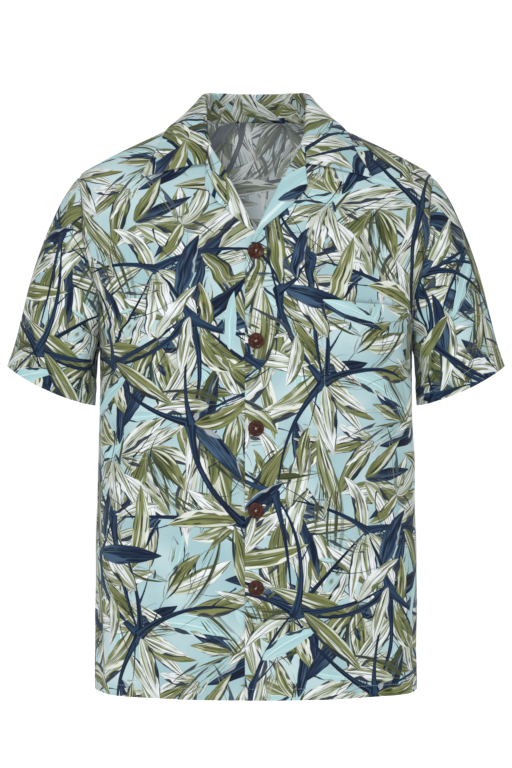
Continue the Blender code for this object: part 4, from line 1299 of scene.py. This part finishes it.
# %% Cut the four holes
for k in range(4):
    turn = math.radians(45 + 90 * k)
    bpy.ops.mesh.primitive_cylinder_add(
        vertices=16, radius=HOLE_RADIUS, depth=BUTTON_THICK * 3,
        location=(HOLE_AT * math.cos(turn), HOLE_AT * math.sin(turn), BUTTON_THICK / 2),
    )
    cutter = bpy.context.object
    nothing_selected()
    button.select_set(True)
    bpy.context.view_layer.objects.active = button
    hole = button.modifiers.new("hole", "BOOLEAN")
    hole.operation, hole.solver, hole.object = "DIFFERENCE", "EXACT", cutter
    bpy.ops.object.modifier_apply(modifier="hole")
    bpy.data.objects.remove(cutter, do_unlink=True)
    nothing_selected()
button.select_set(True)
bpy.context.view_layer.objects.active = button
bpy.ops.object.shade_smooth_by_angle(angle=math.radians(35))
print("button:", len(button.data.polygons), "faces")

# %% [markdown]
# ## Thread and sewing on
# Each button is held by two strands of pale thread, side by side through two opposite holes. A
# curve could follow each strand, but all that shows is a short bar with its ends turned down,
# and a flattened ring gives that. Each button sits on the top front, turned to the slope of the
# cloth at its height, and is spun a few degrees, since no two are sewn on alike.

# %% Shape the thread that holds it
TIE_RADIUS, TIE_FLATTEN, TIE_DROP = 0.00048, 0.42, 0.0014
nothing_selected()
bpy.ops.mesh.primitive_torus_add(
    major_radius=HOLE_AT, minor_radius=TIE_RADIUS, major_segments=20, minor_segments=8,
    rotation=(math.pi / 2, 0, 0),
)
thread = bpy.context.object
thread.name = "thread_blank"
bpy.ops.object.transform_apply(location=True, rotation=True, scale=True)
bpy.ops.object.mode_set(mode="EDIT")
bpy.ops.mesh.select_all(action="SELECT")
bpy.ops.transform.resize(value=(1.0, 1.0, TIE_FLATTEN))
bpy.ops.transform.translate(value=(0, 0, BUTTON_THICK - TIE_DROP))
bpy.ops.object.mode_set(mode="OBJECT")
bpy.ops.object.shade_smooth()
print("thread:", len(thread.data.polygons), "faces")

# %% Sew on the buttons
BUTTON_TURNS = (11, -8, 19, 3, -14)  # degrees
BUTTON_OFF = 0.00075  # from the middle of the cloth to the underside of a button
TIE_ASIDE = 0.00034
buttons, threads = [], []
for number, height in enumerate(BUTTON_HEIGHTS, 1):
    angle, at = np.array([0.0]), np.array([height])
    seat = Vector(front_point(angle, at, 1, True)[0])
    out = Vector(torso_out(angle, at)[0])
    upright = out.to_track_quat("Z", "Y").to_matrix().to_4x4()
    placed = Matrix.Translation(seat + out * BUTTON_OFF) @ upright
    spin = Matrix.Rotation(math.radians(BUTTON_TURNS[number - 1]), 4, "Z")
    disc = bpy.data.objects.new(f"shirt_button_{number}", button.data.copy())
    disc.data.transform(placed @ spin)
    ties = []
    for aside in (-1, 1):
        strand = thread.data.copy()
        slant = Matrix.Rotation(math.radians(45), 4, "Z")
        beside = Matrix.Translation((aside * TIE_ASIDE, -aside * TIE_ASIDE, 0))
        strand.transform(placed @ spin @ beside @ slant)
        tie = bpy.data.objects.new(f"button_thread_{number}_{'a' if aside < 0 else 'b'}", strand)
        ties.append(tie)
    for made in [disc] + ties:
        bpy.context.scene.collection.objects.link(made)
    buttons.append(disc)
    threads += ties
for blank in (button, thread):
    bpy.data.objects.remove(blank, do_unlink=True)
print(len(buttons), "buttons")

# %% [markdown]
# ## Dyes and nodes
# A print like this uses a handful of dyes, each laid in a few strengths. We list them once, in
# the order of the kinds of leaf. Materials could be wired by hand in the editor. Written out,
# each node would take several lines, so a small helper class adds a node and links it in one.

# %% Helpers for node trees
def linear(hexes):
    """A dye given as red, green and blue hexadecimal, as the shader wants it."""
    values = [int(hexes[k : k + 2], 16) / 255 for k in (0, 2, 4)]
    light = [v / 12.92 if v <= 0.04045 else ((v + 0.055) / 1.055) ** 2.4 for v in values]
    return (*light, 1.0)


class Tree:
    """Short ways to add and link nodes in one tree."""

    def __init__(self, tree):
        self.tree, self.nodes, self.links = tree, tree.nodes, tree.links

    def add(self, kind, **settings):
        node = self.nodes.new(kind)
        for name, value in settings.items():
            setattr(node, name, value)
        return node

    def put(self, socket, value):
        if isinstance(value, bpy.types.NodeSocket):
            self.links.new(value, socket)
        else:
            socket.default_value = value

    def math(self, operation, *values, clamp=False):
        node = self.add("ShaderNodeMath", operation=operation, use_clamp=clamp)
        for socket, value in zip(node.inputs, values):
            self.put(socket, value)
        return node.outputs[0]

    def times(self, *values, clamp=False):
        return self.math("MULTIPLY", *values, clamp=clamp)

    def plus(self, *values):
        return self.math("ADD", *values)

    def minus(self, *values):
        return self.math("SUBTRACT", *values)

    def vector(self, x, y, z):
        node = self.add("ShaderNodeCombineXYZ")
        for socket, value in zip(node.inputs, (x, y, z)):
            self.put(socket, value)
        return node.outputs[0]

    def mix(self, share, first, second):
        node = self.add("ShaderNodeMix", data_type="RGBA")
        for socket, value in zip((node.inputs[0], node.inputs[6], node.inputs[7]), (share, first, second)):
            self.put(socket, value)
        return node.outputs[2]

    def blend(self, share, first, second):
        node = self.add("ShaderNodeMix", data_type="FLOAT")
        for socket, value in zip((node.inputs[0], node.inputs[2], node.inputs[3]), (share, first, second)):
            self.put(socket, value)
        return node.outputs[0]

    def noise(self, place, scale, detail, roughness=0.5):
        node = self.add("ShaderNodeTexNoise")
        self.put(node.inputs["Vector"], place)
        node.inputs["Scale"].default_value = scale
        node.inputs["Detail"].default_value = detail
        node.inputs["Roughness"].default_value = roughness
        parts = self.add("ShaderNodeSeparateColor")
        self.links.new(node.outputs["Color"], parts.inputs[0])
        return parts.outputs

    def steps(self, place, colours):
        """A flat colour for each kind of leaf."""
        node = self.add("ShaderNodeValToRGB")
        ramp = node.color_ramp
        ramp.interpolation = "CONSTANT"
        while len(ramp.elements) < len(colours):
            ramp.elements.new(1.0)
        for k, colour in enumerate(colours):
            ramp.elements[k].position = k / len(colours)
            ramp.elements[k].color = linear(colour) if isinstance(colour, str) else colour
        self.put(node.inputs[0], place)
        return node.outputs

    def rise(self, value, low, high):
        """0 below low, 1 above high, smooth between."""
        node = self.add("ShaderNodeMapRange", interpolation_type="SMOOTHSTEP")
        for socket, number in zip(node.inputs, (value, low, high, 0.0, 1.0)):
            self.put(socket, number)
        return node.outputs[0]


def new_group(name, inputs, outputs):
    tree = bpy.data.node_groups.new(name, "ShaderNodeTree")
    for label, kind in inputs:
        tree.interface.new_socket(label, in_out="INPUT", socket_type=kind)
    for label, kind in outputs:
        tree.interface.new_socket(label, in_out="OUTPUT", socket_type=kind)
    made = Tree(tree)
    return made, made.add("NodeGroupInput"), made.add("NodeGroupOutput")


# %% Choose the dyes
GROUND, GROUND_PALE = "9CBCC1", "BCD2D5"
#              white     olive     navy      sea       outline   branch    brush     fern
BODY_DYES = ("DFE3E6", "7C8254", "1F2F47", "A4C8CB", "D8DACB", "16243E", "132036", "7F8560")
WASH_DYES = ("B8C0AF", "626941", "456079", "B2D2D4", "A9AF8C", "2C465F", "132036", "676D46")
STREAK_DYES = ("868D68", "C6CCBE", "101C30", "A0C4C8", "7A8054", "0E182A", "1E2D44", "434A2E")
VEIN_DYES = ("363D26", "272E1C", "0A1222", "DDEAEA", "4E5530", "0A1222", "0A1222", "2E3520")
RIM_DYES = ("5C643C", "E2E5DE", "D3DADC", "1C2C42", "2B3F58", "0A1222", "0A1222", "C9CDB6")
DARK_RIM, DARK_RIM_FROM = "142038", 0.40  # the leaves whose luck is above this have a dark rim
EDGE_WOBBLE = 0.42  # of a leaf's outline, as a share of its half width
VEINS, VEIN_DRIFT = 12.0, 11.0  # how fast the veins repeat across a leaf, and how far they wander
# How strongly each kind shows its wash, its lines and its rim, and whether it covers the ground.
SHARES = (
    (0.85, 0.95, 0.95, 1.0), (0.95, 0.95, 0.85, 1.0), (0.85, 0.70, 0.45, 1.0), (0.60, 0.0, 0.95, 1.0),
    (0.80, 1.0, 0.95, 0.0), (0.80, 0.60, 0.75, 1.0), (0.0, 0.0, 0.0, 1.0), (0.80, 0.95, 0.50, 0.0),
)

print(len(BODY_DYES), "kinds of leaf have dyes")

# %% [markdown]
# ## One painted leaf
# This node group paints one leaf over whatever lies under it. It reads where a point is on the
# leaf: 0 to 1 along it, -1 to 1 across it, and a code whose whole number is the kind and whose
# fraction is the leaf's own seed. Veins are lines that close up at both ends of the leaf, as a
# brush leaves them. One group for each kind would be plainer, but a stack of six such groups is
# about what a material can hold, so one group serves every kind and takes its dyes from ramps.

# %% Find the place on the leaf
ink, given, made = new_group(
    "painted leaf",
    (("Under", "NodeSocketColor"), ("Place", "NodeSocketVector")),
    (("Colour", "NodeSocketColor"),),
)
parts = ink.add("ShaderNodeSeparateXYZ")
ink.put(parts.inputs[0], given.outputs["Place"])
s, t, code = parts.outputs
kind, seed = ink.math("FLOOR", code), ink.math("FRACT", code)
kind_at = ink.times(ink.plus(kind, 0.5), 1 / 8)
stroke = ink.times(ink.math("GREATER_THAN", kind, BRANCH - 0.5), ink.math("LESS_THAN", kind, BRUSH + 0.5))
held = ink.math("MINIMUM", ink.math("MAXIMUM", s, 0.0), 1.0)
left = ink.minus(1.0, held)
skew = ink.math("POWER", held, LEAF_SKEW)
hump = ink.times(ink.times(skew, 4.0), ink.minus(1.0, skew))
leaf_width = ink.math("POWER", ink.math("MAXIMUM", hump, 0.0), LEAF_FULL)
flare = ink.math("EXPONENT", ink.times(held, -STROKE_FADE))
flare = ink.plus(STROKE_THIN, ink.times(flare, 1 - STROKE_THIN))
stroke_width = ink.times(flare, ink.math("POWER", left, STROKE_TIP))
width = ink.math("MAXIMUM", ink.blend(stroke, leaf_width, stroke_width), 0.004)
tau = ink.math("DIVIDE", t, width)
across = ink.math("ABSOLUTE", tau)
offset = ink.times(seed, 61.0)
print("place:", len(ink.nodes), "nodes")

# %% Let the brush wander
edge_place = ink.vector(ink.times(s, 5.0), ink.times(tau, 0.4), offset)
edge_noise = ink.noise(edge_place, 1.0, 0.6)
line_place = ink.vector(ink.times(s, 1.6), ink.times(tau, 2.5), offset)
line_noise = ink.noise(line_place, 1.0, 1.0, 0.4)
share_colour, solid = ink.steps(kind_at, SHARES)
share_parts = ink.add("ShaderNodeSeparateColor")
ink.put(share_parts.inputs[0], share_colour)
wash_share, line_share, rim_share = share_parts.outputs
wobble = ink.times(ink.minus(edge_noise[0], 0.5), EDGE_WOBBLE)
inside = ink.minus(ink.plus(0.95, wobble), across)
cover = ink.times(ink.rise(inside, 0.0, 0.06), ink.math("GREATER_THAN", code, 0.0))
print("with its outline:", len(ink.nodes), "nodes")

# %% Paint the wash, the streaks and the veins
tipward = ink.times(ink.minus(0.45, held), 0.30)
wash = ink.rise(ink.plus(line_noise[2], tipward), 0.40, 0.62)
wash = ink.times(wash, wash_share)
colour = ink.mix(wash, ink.steps(kind_at, BODY_DYES)[0], ink.steps(kind_at, WASH_DYES)[0])
streak = ink.rise(line_noise[1], 0.54, 0.61)
colour = ink.mix(streak, colour, ink.steps(kind_at, STREAK_DYES)[0])
swing = ink.plus(ink.times(tau, VEINS), ink.times(line_noise[0], VEIN_DRIFT))
lines = ink.rise(ink.math("SINE", ink.plus(swing, offset)), 0.70, 0.95)
lines = ink.times(lines, ink.rise(edge_noise[1], 0.38, 0.54))
vein_share = ink.times(lines, line_share)
colour = ink.mix(vein_share, colour, ink.steps(kind_at, VEIN_DYES)[0])
print("with its veins:", len(ink.nodes), "nodes")

# %% Paint the rim, the outline and the rib
side = ink.times(tau, ink.math("SIGN", ink.minus(seed, 0.45)))
rim_reach = ink.minus(ink.times(edge_noise[2], 1.5), 0.48)
rim = ink.rise(ink.minus(rim_reach, inside), -0.03, 0.04)
rim = ink.times(rim, ink.rise(side, -0.3, 0.1))
rim = ink.times(rim, rim_share)
chance = ink.math("FRACT", ink.times(seed, 7.0))
dark_rim = ink.math("GREATER_THAN", chance, DARK_RIM_FROM)
rim_dye = ink.mix(dark_rim, ink.steps(kind_at, RIM_DYES)[0], linear(DARK_RIM))
colour = ink.mix(rim, colour, rim_dye)
outline = ink.times(ink.rise(inside, 0.13, 0.05), ink.rise(edge_noise[1], 0.46, 0.52))
outline = ink.times(outline, ink.minus(0.9, stroke), clamp=True)
colour = ink.mix(outline, colour, ink.steps(kind_at, VEIN_DYES)[0])
rib = ink.times(ink.rise(across, 0.085, 0.03), ink.rise(held, 0.95, 0.60))
rib = ink.times(rib, ink.minus(0.70, stroke), clamp=True)
colour = ink.mix(rib, colour, ink.steps(kind_at, VEIN_DYES)[0])
drawn = ink.math("MAXIMUM", ink.math("MAXIMUM", lines, rim), rib)
print("with its rim and rib:", len(ink.nodes), "nodes")

# %% Lay the leaf over what is under it
fern_streak = ink.times(streak, ink.math("GREATER_THAN", kind, FERN - 0.5))
drawn = ink.math("MAXIMUM", drawn, fern_streak)
cover = ink.times(cover, ink.math("MAXIMUM", solid, drawn))
ink.put(made.inputs["Colour"], ink.mix(cover, given.outputs["Under"], colour))
print("painted leaf:", len(ink.nodes), "nodes")

# %% [markdown]
# ## Print and weave
# The whole print is a mottled ground with six painted leaves laid over it, the lowest first. The
# cloth under it is a plain weave with a thread about every millimetre, too fine to model. Two
# crossed waves and a slow noise raise and lower it in the shading, and vary its tone slightly.

# %% Build the print and the weave
print_tree, given, made = new_group(
    "tropical print",
    (("Cloth", "NodeSocketVector"),),
    (("Colour", "NodeSocketColor"),),
)
wash = print_tree.noise(given.outputs["Cloth"], 11.0, 1.0)
colour = print_tree.mix(print_tree.rise(wash[0], 0.35, 0.70), linear(GROUND), linear(GROUND_PALE))
for number in range(LAYERS, 0, -1):
    place = print_tree.add("ShaderNodeAttribute", attribute_name=f"ink_{number}")
    painted = print_tree.add("ShaderNodeGroup", node_tree=ink.tree)
    print_tree.put(painted.inputs["Under"], colour)
    print_tree.put(painted.inputs["Place"], place.outputs["Vector"])
    colour = painted.outputs["Colour"]
print_tree.put(made.inputs["Colour"], colour)

weave_tree, given, made = new_group(
    "plain weave",
    (("Cloth", "NodeSocketVector"), ("Threads", "NodeSocketFloat")),
    (("Height", "NodeSocketFloat"), ("Shade", "NodeSocketFloat")),
)
parts = weave_tree.add("ShaderNodeSeparateXYZ")
weave_tree.put(parts.inputs[0], given.outputs["Cloth"])
slub = weave_tree.noise(given.outputs["Cloth"], 260.0, 1.0)
warp = weave_tree.math("SINE", weave_tree.times(parts.outputs[0], given.outputs["Threads"]))
weft = weave_tree.math("SINE", weave_tree.times(parts.outputs[1], given.outputs["Threads"]))
woven = weave_tree.times(warp, weft)
height = weave_tree.plus(weave_tree.times(woven, 0.5), slub[0])
weave_tree.put(made.inputs["Height"], height)
weave_tree.put(made.inputs["Shade"], weave_tree.plus(0.97, weave_tree.times(slub[1], 0.06)))
print("print:", LAYERS, "leaves deep")

# %% [markdown]
# ## Finishes
# The face of the cloth shows the full print. Its reverse shows the same leaves where the dye has
# come part of the way through, so it is greyer and paler; it is also brightened past that as
# painted light, to lift the shade that falls on the inside at the neck. A plain grey inside would be
# simpler, but the inside shows at the neck, the hem and the cuffs. The cloth is matt with a faint
# sheen at a slant.


# %% Make the cloth finishes
def shader_of(name):
    finish = bpy.data.materials.new(name)
    finish.use_nodes = True
    return finish, Tree(finish.node_tree), finish.node_tree.nodes["Principled BSDF"]


def roughen(tree, shader, height, strength, distance):
    """Raises and lowers the surface a little, in its shading only."""
    bump = tree.add("ShaderNodeBump")
    bump.inputs["Strength"].default_value = strength
    bump.inputs["Distance"].default_value = distance
    tree.put(bump.inputs["Height"], height)
    tree.put(shader.inputs["Normal"], bump.outputs[0])


THREADS = 7500.0  # of the weave's wave, in radians for each metre: a thread every 0.84 mm
# The reverse is greyer and paler than the face because its dye is faint. Its value step also brightens it
# past that: painted light that lifts the shade on the inside at the neck.
FADED_SATURATION, FADED_AND_LIT_VALUE, FADED_VEIL, VEIL = 0.50, 1.72, 0.25, "E2E8F0"


def cloth_finish(name, faded_and_lit):
    finish, tree, shader = shader_of(name)
    place = tree.add("ShaderNodeUVMap", uv_map="cloth")
    figure = tree.add("ShaderNodeGroup", node_tree=print_tree.tree)
    tree.put(figure.inputs["Cloth"], place.outputs[0])
    weave = tree.add("ShaderNodeGroup", node_tree=weave_tree.tree)
    tree.put(weave.inputs["Cloth"], place.outputs[0])
    weave.inputs["Threads"].default_value = THREADS
    colour = figure.outputs["Colour"]
    if faded_and_lit:
        # Painted light: the value step makes the reverse brighter than its faded dye, to lift the shaded
        # inside.
        grey = tree.add("ShaderNodeHueSaturation")
        grey.inputs["Saturation"].default_value = FADED_SATURATION
        grey.inputs["Value"].default_value = FADED_AND_LIT_VALUE
        tree.put(grey.inputs["Color"], colour)
        colour = tree.mix(FADED_VEIL, grey.outputs[0], linear(VEIL))
    shaded = tree.add("ShaderNodeMix", data_type="RGBA", blend_type="MULTIPLY")
    shaded.inputs[0].default_value = 1.0
    tree.put(shaded.inputs[6], colour)
    grey_level = tree.add("ShaderNodeCombineColor")
    for socket in grey_level.inputs[:3]:
        tree.put(socket, weave.outputs["Shade"])
    tree.put(shaded.inputs[7], grey_level.outputs[0])
    tree.put(shader.inputs["Base Color"], shaded.outputs[2])
    roughen(tree, shader, weave.outputs["Height"], 0.18, 0.0002)
    shader.inputs["Roughness"].default_value = 0.72
    shader.inputs["Specular IOR Level"].default_value = 0.12
    shader.inputs["Sheen Weight"].default_value = 0.05
    shader.inputs["Sheen Roughness"].default_value = 0.45
    return finish


face = cloth_finish("printed cloth", False)
reverse = cloth_finish("reverse of the print", True)
CLOTH_PIECES = {  # each with the solid it stands for and its flat cut
    left_front: ("left_front", left_flat), right_front: ("right_front", right_flat),
    back: ("back", back_flat), left_sleeve: ("left_sleeve", left_sleeve_flat),
    right_sleeve: ("right_sleeve", right_sleeve_flat), collar: ("collar", collar_flat),
    left_lapel: ("left_lapel", left_lapel_flat), right_lapel: ("right_lapel", right_lapel_flat),
    pocket: ("pocket", pocket_flat),
}
for piece in CLOTH_PIECES:
    piece.data.materials.append(face)
    piece.data.materials.append(reverse)
print(len(CLOTH_PIECES), "pieces of cloth are finished")

# %% [markdown]
# ## Buttons and thread
# Each button is cut from mottled brown shell and polished, so two noises of different size run
# through its colour, and its shine changes a little with them. A picture of shell would repeat
# on every button. The noises read the place on the shirt, so no two buttons are alike. The
# sewing thread is pale sea green like the ground, and the button thread is cream.


# %% Make the button and thread finishes
def button_finish():
    finish, tree, shader = shader_of("polished shell button")
    place = tree.add("ShaderNodeTexCoord").outputs["Object"]
    mottle = tree.noise(place, 520.0, 3.0, 0.62)
    grain = tree.noise(place, 1500.0, 2.0)
    ramp = tree.add("ShaderNodeValToRGB")
    dark, light = ramp.color_ramp.elements
    dark.position, light.position = 0.34, 0.70
    dark.color, light.color = linear("1E0A06"), linear("7C4832")
    ramp.color_ramp.elements.new(0.54).color = linear("3E180E")
    tree.put(ramp.inputs[0], tree.plus(tree.times(mottle[0], 0.8), tree.times(grain[0], 0.2)))
    tree.put(shader.inputs["Base Color"], ramp.outputs[0])
    tree.put(shader.inputs["Roughness"], tree.plus(0.22, tree.times(mottle[1], 0.22)))
    roughen(tree, shader, grain[1], 0.25, 0.0002)
    shader.inputs["Specular IOR Level"].default_value = 0.2
    shader.inputs["Coat Weight"].default_value = 0.08
    shader.inputs["Coat Roughness"].default_value = 0.18
    return finish


def thread_finish(name, dye):
    finish, tree, shader = shader_of(name)
    place = tree.add("ShaderNodeTexCoord").outputs["Object"]
    twist = tree.noise(place, 2600.0, 2.0)
    tree.put(shader.inputs["Base Color"], tree.mix(twist[0], linear(dye[0]), linear(dye[1])))
    roughen(tree, shader, twist[1], 0.4, 0.0001)
    shader.inputs["Roughness"].default_value = 0.8
    return finish


button_dye = button_finish()
seam_thread = thread_finish("sewing thread", ("93ABAB", "BCCECD"))
button_thread = thread_finish("button thread", ("C9B39C", "EADCCB"))
for disc in buttons:
    disc.data.materials.append(button_dye)
for tie in threads:
    tie.data.materials.append(button_thread)
for line in (hem_stitches, cuff_stitches, pocket_stitches):
    line.data.materials.append(seam_thread)
print(len(bpy.data.materials), "materials")

# %% [markdown]
# ## Put each piece on the body
# Every piece of cloth stands for its plain solid, which is hidden, and rides on the shirt's one
# body. The size each was cut to before it was sewn is measured from its flat cut and printed.

# %% Ride on the body and hide the solids
SEWN_ON = {
    left_front: [hem_stitches], left_sleeve: [cuff_stitches], pocket: [pocket_stitches],
}
for piece, (node, _) in CLOTH_PIECES.items():
    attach(piece, "root")
    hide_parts(node)
for line in (hem_stitches, cuff_stitches, pocket_stitches):
    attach(line, "root")
for number, disc in enumerate(buttons, 1):
    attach(disc, "root")
    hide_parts(f"button_{number}")
for tie in threads:
    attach(tie, "root")
HELD = {collar: "folded", left_lapel: "folded", right_lapel: "folded", pocket: "laid"}
for piece, (_, flat) in CLOTH_PIECES.items():
    width, length, area = cut_size(flat)
    print(f"{piece.name}: cut {width:.3f} x {length:.3f} m, area {area:.4f} m2")
    held, sewn_on = HELD.get(piece, "hung"), SEWN_ON.get(piece, [])

# %% [markdown]
# ## Stage
# The floor is plain and pale and lies well below the hem, as the shirt hangs free. A curved
# backdrop could join it to a wall. The white surroundings do that here, and never end.

# %% Set the stage
nothing_selected()
bpy.ops.mesh.primitive_plane_add(size=60, location=(0, 0, -0.95))
floor = bpy.context.object
floor.name = "studio_floor"
bpy.ops.object.transform_apply(location=True, rotation=True, scale=True)
paint, tree, shader = shader_of("pale studio floor")
speck = tree.noise(tree.add("ShaderNodeTexCoord").outputs["Object"], 3.0, 2.0)
tree.put(shader.inputs["Base Color"], tree.mix(speck[0], (0.90, 0.90, 0.90, 1), (0.93, 0.93, 0.93, 1)))
shader.inputs["Roughness"].default_value = 0.9
shader.inputs["Emission Color"].default_value = (1, 1, 1, 1)
shader.inputs["Emission Strength"].default_value = 0.62
floor.data.materials.append(paint)
print("floor:", round(floor.dimensions.x), "m across")

# %% [markdown]
# ## Light
# The light is soft, even and white, as in a shop's studio. A bright room alone would do, but it
# leaves creases flat. So a key lamp stands in front, high and to one side, with a weaker fill
# across from it, one above and one behind. The camera sees a whiter room than the one that
# lights the cloth, because the backdrop is to be white and the cloth isn't to be pale.

# %% Light it
world = bpy.data.worlds.new("studio")
bpy.context.scene.world = world
world.use_nodes = True
sky = world.node_tree.nodes["Background"]
sky.inputs["Color"].default_value = (1, 1, 1, 1)
sky.inputs["Strength"].default_value = 0.42
seen = world.node_tree.nodes.new("ShaderNodeBackground")
seen.inputs["Color"].default_value = (1, 1, 1, 1)
seen.inputs["Strength"].default_value = 1.05
choose = world.node_tree.nodes.new("ShaderNodeMixShader")
ray = world.node_tree.nodes.new("ShaderNodeLightPath")
world.node_tree.links.new(ray.outputs["Is Camera Ray"], choose.inputs[0])
world.node_tree.links.new(sky.outputs[0], choose.inputs[1])
world.node_tree.links.new(seen.outputs[0], choose.inputs[2])
world.node_tree.links.new(choose.outputs[0], world.node_tree.nodes["World Output"].inputs[0])

LAMPS = (  # name, place, size, power
    ("key", (-0.75, -2.2, 1.35), 0.42, 26.3),
    ("fill", (1.1, -2.6, 0.1), 1.6, 8.0),
    ("top", (0.2, 0.4, 2.2), 1.6, 12.0),
    ("behind", (0.6, 2.4, 0.8), 1.8, 10.0),
)
for name, place, size, power in LAMPS:
    lamp = bpy.data.lights.new(name, "AREA")
    lamp.shape, lamp.size, lamp.energy = "DISK", size, power
    holder = bpy.data.objects.new(name, lamp)
    holder.location = place
    aim = Vector((0, 0, -0.32)) - Vector(place)
    holder.rotation_euler = aim.to_track_quat("-Z", "Y").to_euler()
    bpy.context.scene.collection.objects.link(holder)

print(len(LAMPS), "lamps")

# %% [markdown]
# ## Camera
# A long lens from nearly three metres shows the shirt straight from the front with almost no
# perspective. A camera without any perspective would be simpler, but would hide the V's depth.

# %% Place the camera
lens = bpy.data.cameras.new("camera")
lens.lens, lens.sensor_width = 106.7, 36.0
lens.clip_end = 200
camera = bpy.data.objects.new("camera", lens)
camera.location = (0, -2.8, -0.315)
camera.rotation_euler = (math.pi / 2, 0, 0)
bpy.context.scene.collection.objects.link(camera)
bpy.context.scene.camera = camera
bpy.context.scene.view_settings.view_transform = "Standard"
print("camera at", tuple(camera.location))
